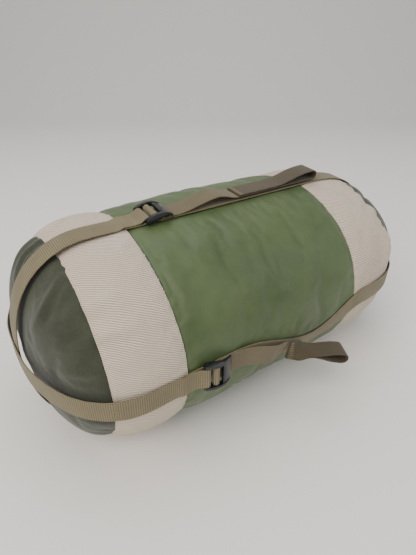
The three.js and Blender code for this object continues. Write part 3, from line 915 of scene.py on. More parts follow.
        cloth.uniform_pressure_force = self.pressure
        cloth.effector_weights.gravity = 0
        cloth.vertex_group_mass = "held"
        press.collision_settings.use_collision = False
        scene = bpy.context.scene
        for step in range(1, self.frames + 1):
            scene.frame_set(step)
        graph = bpy.context.evaluated_depsgraph_get()
        settled = load.evaluated_get(graph).to_mesh()
        places = np.zeros(len(settled.vertices) * 3)
        settled.vertices.foreach_get("co", places)
        scene.frame_set(1)
        bpy.data.objects.remove(load)
        LOG.info("the stuffing has settled on %d points", len(points))
        return places.reshape(-1, 3)[: rows * columns].reshape(rows, columns, 3)


def grid_faces(rows: int, columns: int, first: int = 0) -> list[tuple[int, ...]]:
    """Returns the faces between rings of points, each ring closed on itself."""
    return [
        (
            first + i * columns + j,
            first + (i + 1) * columns + j,
            first + (i + 1) * columns + (j + 1) % columns,
            first + i * columns + (j + 1) % columns,
        )
        for i in range(rows - 1)
        for j in range(columns)
    ]


def disc_faces(columns: int, first: int, flip: bool = False) -> list[tuple[int, ...]]:
    """Returns a strip of faces that closes one ring of points from side to side."""
    faces = []
    for j in range(columns // 2 - 1):
        quad = (first + j, first + j + 1, first + columns - 2 - j, first + columns - 1 - j)
        faces.append(quad[::-1] if flip else quad)
    return faces


# ------------------------------------------------------------------ cloth skins


@dataclass
class ClothSkin:
    """One sewn panel of the sack as a closed wall of cloth, in real thickness."""

    name: str
    rings: np.ndarray
    normals: np.ndarray
    angles: np.ndarray
    thickness: float = 0.0012
    domed: bool = False
    pole_first: bool = False

    def build(self) -> bpy.types.Object:
        """Builds the wall: outer rings, then inner rings back, closed at a pole or at both rims.

        Returns:
            The panel's object.
        """
        outer = self.rings
        inner = outer - self.normals * self.thickness
        if self.pole_first:
            outer, inner = outer[::-1], inner[::-1]
        rows, columns = outer.shape[:2]
        stack = np.concatenate([inner[::-1], outer])
        points = stack.reshape(-1, 3)
        faces = grid_faces(2 * rows, columns)
        steps = np.linalg.norm(np.diff(outer.mean(axis=1), axis=0), axis=1)
        spans = np.linalg.norm(np.diff(outer, axis=0), axis=-1).mean(axis=1)
        reach = np.concatenate([[0.0], np.cumsum(np.maximum(spans, steps))])
        v = np.concatenate([reach[::-1], reach])
        if not self.domed:
            radius = 0.132
            turn = np.append(self.angles, self.angles[0] + 2 * np.pi)
            uv = [[(turn[j] * radius, v[i]) for j in range(columns + 1)] for i in range(2 * rows)]
            faces += [
                (
                    (2 * rows - 1) * columns + j,
                    j,
                    (j + 1) % columns,
                    (2 * rows - 1) * columns + (j + 1) % columns,
                )
                for j in range(columns)
            ]
        else:
            far = reach[-1] + 0.004
            turn = np.append(self.angles, self.angles[0])
            uv = [
                [
                    ((far - v[i]) * np.cos(turn[j]), (far - v[i]) * np.sin(turn[j]))
                    for j in range(columns + 1)
                ]
                for i in range(2 * rows)
            ]
            faces += disc_faces(columns, 0)
            faces += disc_faces(columns, (2 * rows - 1) * columns, flip=True)
        made = make_object(self.name, points, faces, self.corner_places(faces, uv, columns))
        face_outwards(made)
        return made

    def corner_places(
        self, faces: Sequence[Sequence[int]], uv: Sequence, columns: int
    ) -> list[list[tuple[float, float]]]:
        """Returns the cloth place of each corner of each face, whole across the back seam."""
        places = []
        for face in faces:
            across = [corner % columns for corner in face]
            wraps = 0 in across and columns - 1 in across
            cells = [divmod(corner, columns) for corner in face]
            places.append([uv[i][columns if wraps and j == 0 else j] for i, j in cells])
        return places


@dataclass
class Skins:
    """The sack's cloth: a green body, a sewn base and a lift-off lid, with the load inside."""

    form: SackForm
    stuffing: Stuffing
    neck_start: float = -0.1565
    neck_end: float = -0.2385
    neck_share: float = 0.24
    tucked: float = 0.0037

    def make(self) -> None:
        """Builds and dresses every skin."""
        self.make_base()
        self.make_lid()
        self.make_body()
        self.make_neck_hem()
        self.make_load()

    def panel(self, name: str, part: str, cloth: Cloth, body: str, node: str) -> None:
        """Builds one panel from its part of the settled skin."""
        rings = self.stuffing.skin[part]
        domed = part in ("lid_cap", "base_cap")
        normals = self.stuffing.normals(rings)
        skin = ClothSkin(
            name,
            rings,
            normals,
            self.stuffing.angles,
            domed=domed,
            pole_first=part == "lid_cap",
        )
        made = skin.build()
        subdivide(made)
        place_piece(made, cloth, body, [node])

    def make_base(self) -> None:
        """Builds the base's band and its cap."""
        self.panel("base_band_cloth", "base_band", Cloth.OXFORD, "root", "base_band")
        self.panel("base_cap_cloth", "base_cap", Cloth.CAP, "root", "base_cap")

    def make_lid(self) -> None:
        """Builds the lid's skirt and its cap."""
        self.panel("lid_skirt_cloth", "lid_skirt", Cloth.OXFORD, "lid", "lid_skirt")
        self.panel("lid_cap_cloth", "lid_cap", Cloth.CAP, "lid", "lid_cap")

    def neck_rings(self, depth: float, first: float, count: int) -> np.ndarray:
        """Returns the rings of the gathered neck that is under the lid.

        Args:
            depth: how far the layer lies inside the body's outer face.
            first: x of the ring nearest the lid's pole.
            count: how many rings there are.

        Returns:
            The rings in rising x, up to just short of the lid's rim.
        """
        x = np.linspace(first, self.form.lid.rim - 0.0012, count)
        gathered = smooth((self.neck_start - x) / (self.neck_start - self.neck_end))
        share = mix(1.0, self.neck_share, gathered)
        turns = self.stuffing.angles
        pleats = 0.0035 * gathered * (1.2 - gathered)
        wave = np.sin(22 * turns + 1.3 * np.sin(3 * turns)) + 0.5 * np.sin(39 * turns)
        offset = -(self.tucked + depth) + pleats[:, None] * (wave[None, :] - 1.2)
        y = -(self.form.half_width + offset) * share[:, None] * np.cos(turns)[None, :]
        risen = (self.form.half_height + offset) * share[:, None] * np.sin(turns)
        z = self.form.axis_height + risen
        low = self.form.floor(self.form.lid.rim + 0.001, y) + self.tucked + depth
        z = np.maximum(z, low)
        return np.stack([np.broadcast_to(x[:, None], y.shape), y, z], -1)

    def make_body(self) -> None:
        """Builds the green tube, with its gathered neck."""
        shown = self.stuffing.skin["body"]
        neck = self.neck_rings(0.0, self.neck_end, 34)
        rings = np.concatenate([neck, shown])
        normals = self.stuffing.normals(rings)
        made = ClothSkin("body_cloth", rings, normals, self.stuffing.angles).build()
        subdivide(made)
        place_piece(made, Cloth.NYLON, "root", ["body_tube"])

    def make_neck_hem(self) -> None:
        """Builds the gathered hem that closes the neck, a puckered roll of cloth."""
        low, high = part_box("neck_hem")
        middle = (low + high) / 2
        outer = (high.z - low.z) / 2
        half_along = (high.x - low.x) / 2
        half_out = 0.004
        turns = np.linspace(0, 2 * np.pi, 144, endpoint=False)
        round_hem = np.linspace(0, 2 * np.pi, 14, endpoint=False)
        pucker = 1.0 - 0.10 * (1 + np.sin(24 * turns + np.sin(5 * turns)))
        radius = (outer - half_out) + half_out * np.cos(round_hem)[:, None] * pucker[None, :]
        x = middle.x + half_along * np.sin(round_hem)[:, None] * pucker[None, :]
        y = radius * np.cos(turns)[None, :]
        z = middle.z + radius * np.sin(turns)[None, :]
        rings = np.stack([x, y, z], -1)
        faces = grid_faces(len(round_hem), len(turns))
        last = (len(round_hem) - 1) * len(turns)
        count = len(turns)
        faces += [(last + j, j, (j + 1) % count, last + (j + 1) % count) for j in range(count)]
        uvs = [[(turns[c % count] * 0.03, (c // count) * 0.002) for c in face] for face in faces]
        made = make_object("neck_hem_cloth", rings.reshape(-1, 3), faces, uvs)
        face_outwards(made)
        place_piece(made, Cloth.NYLON, "root", ["neck_hem"])

    def make_load(self) -> None:
        """Builds the load, a soft filling that follows the skins from inside."""
        stuffing = self.stuffing
        depth = 0.0045
        parts = [stuffing.skin[name][::3] for name in ("body", "base_band", "base_cap")]
        shown = np.concatenate(parts)
        keep = np.append(np.diff(shown[:, :, 0].mean(axis=1)) > 0.0012, True)
        shown = shown[keep]
        shown = shown - stuffing.normals(shown) * depth
        neck = self.neck_rings(depth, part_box("packed_contents")[0].x + 0.004, 16)
        rings = np.concatenate([neck, shown])
        rows, columns = rings.shape[:2]
        low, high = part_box("packed_contents")
        ends = [[low.x, 0, self.form.axis_height], [high.x - 0.0015, 0, self.form.axis_height]]
        points = np.concatenate([rings.reshape(-1, 3), ends])
        faces = grid_faces(rows, columns)
        faces += [(rows * columns, j, (j + 1) % columns) for j in range(columns)]
        last = (rows - 1) * columns
        faces += [(rows * columns + 1, last + (j + 1) % columns, last + j) for j in range(columns)]
        made = make_object("packed_load", points, faces)
        face_outwards(made)
        place_piece(made, Cloth.FILLING, "root", ["packed_contents"])


# ------------------------------------------------------------------ webbing


@dataclass
class WebPath:
    """A line for webbing: its middle and its width direction at each stop."""

    points: list[np.ndarray] = field(default_factory=list)
    widths: list[np.ndarray] = field(default_factory=list)

    def add(self, point: np.ndarray, width: np.ndarray) -> None:
        """Adds one stop, its width turned to agree with the last one."""
        if self.widths and float(np.dot(width, self.widths[-1])) < 0:
            width = -width
        self.points.append(np.asarray(point, float))
        self.widths.append(np.asarray(width, float))

    def extend(self, other: "WebPath") -> None:
        """Adds another path's stops."""
        for point, width in zip(other.points, other.widths):
            self.add(point, width)

    def reversed(self) -> "WebPath":
        """Returns the same stops in the other order."""
        return WebPath(self.points[::-1], self.widths[::-1])

    def mirrored(self) -> "WebPath":
        """Returns the stops on the other side of the sack."""
        flip = np.array([1.0, -1.0, 1.0])
        return WebPath([p * flip for p in self.points], [w * flip for w in self.widths])

    def smooth(self, step: float) -> tuple[np.ndarray, np.ndarray, np.ndarray, np.ndarray]:
        """Draws one smooth line through the stops.

        Args:
            step: the distance from sample to sample.

        Returns:
            Middles, width directions, outward normals and the length so far.
        """
        points, widths = np.array(self.points), np.array(self.widths)
        reach = np.concatenate([[0.0], np.cumsum(np.linalg.norm(np.diff(points, axis=0), axis=1))])
        count = max(int(reach[-1] / step), 4)
        at = np.linspace(0, reach[-1], count + 1)
        slopes = np.gradient(points, reach, axis=0)
        index = np.clip(np.searchsorted(reach, at, side="right") - 1, 0, len(reach) - 2)
        span = (reach[index + 1] - reach[index])[:, None]
        t = ((at - reach[index])[:, None]) / span
        lines = (
            (2 * t**3 - 3 * t**2 + 1) * points[index]
            + (t**3 - 2 * t**2 + t) * span * slopes[index]
            + (-2 * t**3 + 3 * t**2) * points[index + 1]
            + (t**3 - t**2) * span * slopes[index + 1]
        )
        along = unit(np.gradient(lines, axis=0))
        across = mix(widths[index], widths[index + 1], smooth(t))
        across = unit(across - along * np.sum(across * along, axis=1, keepdims=True))
        return lines, across, np.cross(along, across), at


@dataclass
class WebStrip:
    """A flat band of webbing with rounded selvedges, laid along a path."""

    name: str
    path: WebPath
    half: float = 0.0125
    thick: float = 0.0014
    step: float = 0.0024

    def section(self) -> list[tuple[float, float]]:
        """Returns the band's section as share across and share of the half thickness."""
        top = [(1.0, 0.35), (0.975, 0.85), (0.9, 1.0), (0.45, 1.0), (0.0, 1.0)]
        upper = top + [(-a, n) for a, n in top[-2::-1]]
        return upper + [(a, -n) for a, n in upper[::-1]]

    def build(self) -> bpy.types.Object:
        """Builds the band as one closed mesh.

        Returns:
            The band's object.
        """
        lines, across, normals, reach = self.path.smooth(self.step)
        shape = self.section()
        columns, rows = len(shape), len(lines)
        a = np.array([place[0] for place in shape]) * self.half
        n = np.array([place[1] for place in shape]) * self.thick / 2
        sideways = across[:, None, :] * a[None, :, None]
        rings = lines[:, None, :] + sideways + normals[:, None, :] * n[None, :, None]
        faces = grid_faces(rows, columns)
        uvs = [[(a[c % columns], reach[c // columns]) for c in face] for face in faces]
        for end in (0, rows - 1):
            cap = [end * columns + j for j in range(columns)]
            for j in range(columns // 2 - 1):
                quad = (cap[j], cap[j + 1], cap[columns - 2 - j], cap[columns - 1 - j])
                faces.append(quad)
                uvs.append([(a[c % columns], reach[end]) for c in quad])
        made = make_object(self.name, rings.reshape(-1, 3), faces, uvs)
        face_outwards(made)
        return made


@dataclass
class WebLines:
    """Where the webbing runs: over the lid, over the base, through the buckles and free."""

    form: SackForm
    exit_along: float = 0.0286
    seam_gap: float = 0.0003
    bar_radius: float = 0.0022
    bar_clearance: float = 0.0004
    anchor_up: float = 0.005
    middle_bar: tuple[float, float] = (0.0096, 0.0072)
    lid_slack: float = 0.005
    base_slack: float = 0.0006
    loop_length: float = 0.078
    loop_outward: float = 0.56
    loop_droop: float = 0.2
    loop_twist: float = 0.034
    loop_root: float = 0.0055

    def section_normal(self, angle: float) -> np.ndarray:
        """Returns the outward direction of the sack's section at an angle."""
        across = -math.cos(angle) / self.form.half_width
        up = math.sin(angle) / self.form.half_height
        return unit(np.array([0.0, across, up]))

    def touch(self, x: float, angle: float) -> np.ndarray:
        """Returns the place on the plain form that a strap lies against."""
        form = self.form
        proud = form.lid_proud if x < form.lid.rim else 0.0
        share = float(form.lid.share(x) * form.base.share(x))
        y = -(form.half_width + proud) * share * math.cos(angle)
        z = form.axis_height + (form.half_height + proud) * share * math.sin(angle)
        if math.sin(angle) < -0.99:
            z = max(z, float(form.floor(x, 0.0)))
        return np.array([x, y, z])

    def stop(self, strap: Strap, x: float, up: float) -> tuple[np.ndarray, np.ndarray]:
        """Returns one stop of a strap.

        Args:
            strap: the strap's line.
            x: the place along the sack.
            up: how far the strap's middle stands off the cloth.

        Returns:
            The stop's middle and its width direction.
        """
        step = 0.001
        before = self.touch(x - step, float(strap.angle_at(x - step)))
        along = unit(self.touch(x + step, float(strap.angle_at(x + step))) - before)
        angle = float(strap.angle_at(x))
        out = self.section_normal(angle)
        width = np.cross([1.0, 0.0, 0.0], out)
        width = unit(width - along * np.dot(width, along))
        normal = np.cross(width, along)
        normal = normal if np.dot(normal, out) > 0 else -normal
        point = self.touch(x, angle) + normal * up
        point[2] = max(point[2], self.form.web_thick / 2 + self.seam_gap)
        return point, width

    def run(self, strap: Strap, places: Sequence[float], heights: Sequence[float]) -> WebPath:
        """Returns a path of stops along one strap."""
        path = WebPath()
        for x, up in zip(places, heights):
            path.add(*self.stop(strap, x, up))
        return path

    def cap_height(self, end: EndForm, x: Any, slack: float, crossing: int) -> Any:
        """Returns a strap's height over a domed end, where slack webbing stands away."""
        side = math.copysign(1.0, end.pole)
        far = side * end.pole
        bow = [(side * end.shoulder, 0.0), (side * end.seam, 0.55 * slack), (far - 0.004, slack)]
        hop = [(far - 0.009, 0.0), (far - 0.0025, crossing * self.form.layer_pitch)]
        return self.form.lift + eased(bow, side * x) + eased(hop, side * x)

    def dome(
        self, end: EndForm, first: Strap, second: Strap, slack: float, crossing: int
    ) -> WebPath:
        """Returns a path over a domed end, out along one strap and back along another."""
        shares = np.array([0, 0.22, 0.42, 0.6, 0.75, 0.87, 0.95, 0.988])
        flank = np.linspace(end.shoulder, end.seam, 7)[:-1]
        places = np.concatenate([flank, end.seam + (end.pole - end.seam) * shares])
        heights = self.cap_height(end, places, slack, crossing)
        path = self.run(first, places, heights)
        tip = float(self.cap_height(end, np.array(end.pole), slack, crossing))
        width = np.cross([1.0, 0.0, 0.0], self.section_normal(math.radians(first.angle)))
        farthest = end.pole + math.copysign(tip, end.pole)
        path.add(np.array([farthest, 0, self.form.axis_height]), width)
        path.extend(self.run(second, places[::-1], heights[::-1]))
        return path

    def anchor(self, strap: Strap) -> WebPath:
        """Returns the end of a lid strap, folded back round the buckle's anchor bar."""
        form = self.form
        second = form.lift + form.layer_pitch
        wrap = self.bar_radius + self.bar_clearance + form.web_thick / 2
        over = [(-0.034, form.lift), (-0.028, second), (-0.018, second), (-0.009, second + 0.0008)]
        bend = [
            (
                wrap * math.cos(math.radians(turn)),
                self.anchor_up + wrap * math.sin(math.radians(turn)),
            )
            for turn in np.linspace(112, -100, 14)
        ]
        under = [(-0.006, form.lift), (-0.015, form.lift), (-0.026, form.lift)]
        stops = over + bend + under
        places = [strap.buckle_x + along for along, _ in stops]
        return self.run(strap, places, [up for _, up in stops])

    def over_lid(self, first: Strap, second: Strap, crossing: int) -> WebPath:
        """Returns a hoop over the lid, from one buckle to another."""
        path = self.anchor(first).reversed()
        path.extend(self.dome(self.form.lid, first, second, self.lid_slack, crossing))
        path.extend(self.anchor(second))
        return path

    def live(self, strap: Strap) -> WebPath:
        """Returns the live run from a buckle's exit to the base."""
        start = strap.buckle_x + self.exit_along + self.seam_gap
        places = [start, start + 0.005, *np.linspace(-0.0465, 0.1255, 18)]
        places = [x for x in places if x >= start]
        return self.run(strap, places, [self.form.lift] * len(places))

    def over_base(self, first: Strap, second: Strap, crossing: int) -> WebPath:
        """Returns a run over the base, from one buckle's exit to another's."""
        path = self.live(first)
        path.extend(self.dome(self.form.base, first, second, self.base_slack, crossing))
        path.extend(self.live(second).reversed())
        return path

    def threaded(self, strap: Strap) -> WebPath:
        """Returns the webbing in a buckle: in under it, round the middle bar and out."""
        form = self.form
        wrap = self.bar_radius + self.bar_clearance + form.web_thick / 2
        along, up = self.middle_bar
        bend = [
            (along + wrap * math.cos(math.radians(turn)), up + wrap * math.sin(math.radians(turn)))
            for turn in np.linspace(250, -40, 16)
        ]
        second = form.lift + form.layer_pitch
        last = self.exit_along - self.seam_gap
        route = [(last, form.lift), (along + 0.0114, form.lift), (along + 0.0064, form.lift)]
        route += [(along + 0.0015, form.lift + 0.0009), *bend]
        route += [(along + 0.0062, second + 0.0009), (along + 0.0104, second), (last, second)]
        angle = float(strap.angle_at(strap.buckle_x))
        out = self.section_normal(angle)
        across = np.cross([1.0, 0.0, 0.0], out)
        origin = self.touch(strap.buckle_x, angle)
        path = WebPath()
        for x, height in route:
            path.add(origin + np.array([x, 0, 0]) + out * height, across)
        return path

    def tail_height(self, strap: Strap, x: Any) -> Any:
        """Returns a tail's height at x: it bows up between the buckle and the tack."""
        low = self.form.lift + self.form.layer_pitch
        start = strap.buckle_x + self.exit_along
        crest = mix(start, strap.tack_x, 0.68)
        landed = (strap.tack_x, low + 0.25 * strap.bump)
        return eased([(start + 0.008, low), (crest, low + strap.bump), landed], x)

    def tail(self, strap: Strap) -> WebPath:
        """Returns a free tail, from the buckle's exit to the tack."""
        start = strap.buckle_x + self.exit_along
        onward = np.linspace(start + 0.016, strap.tack_x, 9)
        places = np.concatenate([[start, start + 0.005, start + 0.01], onward])
        return self.run(strap, places, self.tail_height(strap, places))

    def lying_loop(self, strap: Strap) -> WebPath:
        """Returns a pull loop that lies along its strap: out under, round and back over."""
        pitch = self.form.layer_pitch
        low = float(self.tail_height(strap, strap.tack_x))
        start, end = strap.tack_x + self.seam_gap, strap.loop_end
        half = (pitch + strap.mouth) / 2
        opening = [(start + 0.06, 0.0), (end - 0.016, strap.mouth)]
        out = [(x, low) for x in np.linspace(start, end - half, 9)]
        turn = [
            (end - half + half * math.cos(a), low + half + half * math.sin(a))
            for a in np.radians(np.linspace(-70, 70, 7))
        ]
        back = [
            (x, low + pitch + float(eased(opening, x)))
            for x in np.linspace(end - half, start, 12)
        ]
        stops = out + turn + back
        return self.run(strap, [x for x, _ in stops], [up for _, up in stops])

    def standing_loop(self, strap: Strap) -> WebPath:
        """Returns a pull loop that stands out from the front and droops, turning to lie flat."""
        tack_height = float(self.tail_height(strap, strap.tack_x))
        root, root_width = self.stop(strap, strap.tack_x, tack_height)
        along = unit(np.array([1.0, -self.loop_outward, -self.loop_droop]))
        level = unit(np.array([-along[1], along[0], 0.0]))
        if np.dot(level, root_width) < 0:
            level = -level
        pitch = self.form.layer_pitch
        half = (pitch + strap.mouth) / 2
        end = self.loop_length - half
        opening = [(self.loop_twist, 0.0), (end - 0.006, strap.mouth)]

        def put(path: WebPath, far: float, above: float) -> None:
            """Adds a stop that far along the loop and that far above its middle."""
            share = float(eased([(self.loop_root, 0.0), (self.loop_twist, 1.0)], far))
            width = mix(root_width, level, share)
            width = unit(width - along * np.dot(width, along))
            normal = np.cross(width, along)
            normal = normal if np.dot(normal, [0, -1, 1]) > 0 else -normal
            path.add(root + along * far + normal * above, width)

        places = np.concatenate(
            [
                np.linspace(self.loop_root, self.loop_twist, 10),
                np.linspace(self.loop_twist, end, 8)[1:],
            ]
        )
        path = WebPath()
        for far in places:
            put(path, far, -float(eased(opening, far)) / 2)
        for turn in np.radians(np.linspace(-70, 70, 7)):
            put(path, end + half * math.cos(turn), pitch / 2 + half * math.sin(turn))
        for far in places[::-1]:
            put(path, far, pitch + float(eased(opening, far)) / 2)
        return path


@dataclass
class WebbingSet:
    """Every band of webbing on the sack."""

    form: SackForm
    lines: WebLines

    def strip(
        self, name: str, path: WebPath, cloth: Cloth, body: str, node: str
    ) -> bpy.types.Object:
        """Builds one band and gives it its place in the frame."""
        return place_piece(WebStrip(name, path).build(), cloth, body, [node])

    def make(self) -> None:
        """Builds the hoops, the live runs, the threaded stretches, the tails and the loops."""
        straps, lines = self.form.straps, self.lines
        pairs = {"upright": ("top", "bottom", 0), "level": ("front", "back", 1)}
        for way, (first, second, crossing) in pairs.items():
            hoop = lines.over_lid(straps[first], straps[second], crossing)
            self.strip(f"lid_webbing_{way}", hoop, Cloth.WEBBING, "lid", f"lid_strap_{way}")
            run = lines.over_base(straps[first], straps[second], crossing)
            band = WebStrip(f"base_webbing_{way}", run).build()
            made = place_piece(band, Cloth.WEBBING, "root", [f"base_strap_{way}"])
            made.parent = None
            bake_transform(made)
        for place, strap in straps.items():
            thread = lines.threaded(strap)
            node = f"threaded_webbing_{place}"
            self.strip(f"buckle_webbing_{place}", thread, Cloth.WEBBING, f"buckle_{place}", node)
            tail = f"tail_{place}"
            self.strip(f"tail_webbing_{place}", lines.tail(strap), Cloth.DARK_WEBBING, tail, tail)
            loop = self.loop(place)
            body = f"pull_loop_{place}"
            # The loops take the dark webbing with painted shade, darker than the tails.
            self.strip(f"loop_webbing_{place}", loop, Cloth.SHADED_WEBBING, body, body)

    def loop(self, place: str) -> WebPath:
        """Returns the path of one pull loop."""
        straps, lines = self.form.straps, self.lines
        if place in ("top", "bottom"):
            return lines.lying_loop(straps[place])
        front = lines.standing_loop(straps["front"])
        return front if place == "front" else front.mirrored()


# ------------------------------------------------------------------ buckles


@dataclass
class BuckleSet:
    """The four moulded ladder-lock buckles, with every edge rounded as a mould leaves it."""

    edge: float = 0.0005
    segments: int = 3

    def make(self) -> None:
        """Builds each buckle from its node's shape."""
        for place in ("top", "front", "back", "bottom"):
            self.mould(place)

    def mould(self, place: str) -> None:
        """Copies a buckle's node, merges it and rounds its edges."""
        source = frame["nodes"][f"buckle_{place}"]
        made = bpy.data.objects.new(f"moulded_buckle_{place}", source.data.copy())
        bpy.context.scene.collection.objects.link(made)
        work = bmesh.new()
        work.from_mesh(made.data)
        bmesh.ops.remove_doubles(work, verts=work.verts, dist=1e-6)
        bmesh.ops.dissolve_limit(
            work, angle_limit=math.radians(1.0), verts=work.verts, edges=work.edges
        )
        work.to_mesh(made.data)
        work.free()
        rounding = made.modifiers.new("Moulded edges", "BEVEL")
        rounding.width = self.edge
        rounding.segments = self.segments
        rounding.limit_method = "ANGLE"
        rounding.angle_limit = math.radians(35)
        rounding.harden_normals = True
        flatten_modifiers(made)
        made.data.shade_smooth()
        place_piece(made, Cloth.ACETAL, f"buckle_{place}", [f"buckle_{place}"])


# ------------------------------------------------------------------ stitches


@dataclass
class StitchTree:
    """Geometry Nodes that lay one stitch after another along lines."""

    name: str = "Sewn line"

    def build(self) -> bpy.types.NodeTree:
        """Builds the tree, with named inputs for its sizes.

        Returns:
            The node tree.
        """
        tree = bpy.data.node_groups.new(self.name, "GeometryNodeTree")
        tree.interface.new_socket("Geometry", in_out="INPUT", socket_type="NodeSocketGeometry")
        for label in ("Stitch Pitch", "Stitch Length", "Thread Radius"):
            tree.interface.new_socket(label, in_out="INPUT", socket_type="NodeSocketFloat")
        tree.interface.new_socket("Thread", in_out="INPUT", socket_type="NodeSocketMaterial")
        tree.interface.new_socket("Geometry", in_out="OUTPUT", socket_type="NodeSocketGeometry")
        given = tree.nodes.new("NodeGroupInput").outputs
        curve = add_node(tree, "GeometryNodeMeshToCurve", {"Mesh": given["Geometry"]})
        even = add_node(
            tree,
            "GeometryNodeResampleCurve",
            {"Curve": curve.outputs[0], "Length": given["Stitch Pitch"]},
            mode="LENGTH",
        )
        ball = add_node(
            tree, "GeometryNodeMeshUVSphere", {"Segments": 6, "Rings": 4, "Radius": 1.0}
        )
        half = add_node(
            tree, "ShaderNodeMath", {0: given["Stitch Length"], 1: 0.5}, operation="MULTIPLY"
        )
        size = add_node(
            tree,
            "ShaderNodeCombineXYZ",
            {"X": given["Thread Radius"], "Y": given["Thread Radius"], "Z": half.outputs[0]},
        )
        tangent = add_node(tree, "GeometryNodeInputTangent")
        turn = add_node(
            tree, "FunctionNodeAlignRotationToVector", {"Vector": tangent.outputs[0]}, axis="Z"
        )
        laid = add_node(
            tree,
            "GeometryNodeInstanceOnPoints",
            {
                "Points": even.outputs[0],
                "Instance": ball.outputs["Mesh"],
                "Rotation": turn.outputs[0],
                "Scale": size.outputs[0],
            },
        )
        real = add_node(tree, "GeometryNodeRealizeInstances", {"Geometry": laid.outputs[0]})
        smooth_thread = add_node(tree, "GeometryNodeSetShadeSmooth", {"Geometry": real.outputs[0]})
        dyed = add_node(
            tree,
            "GeometryNodeSetMaterial",
            {"Geometry": smooth_thread.outputs[0], "Material": given["Thread"]},
        )
        output = tree.nodes.new("NodeGroupOutput")
        tree.links.new(dyed.outputs[0], output.inputs[0])
        return tree


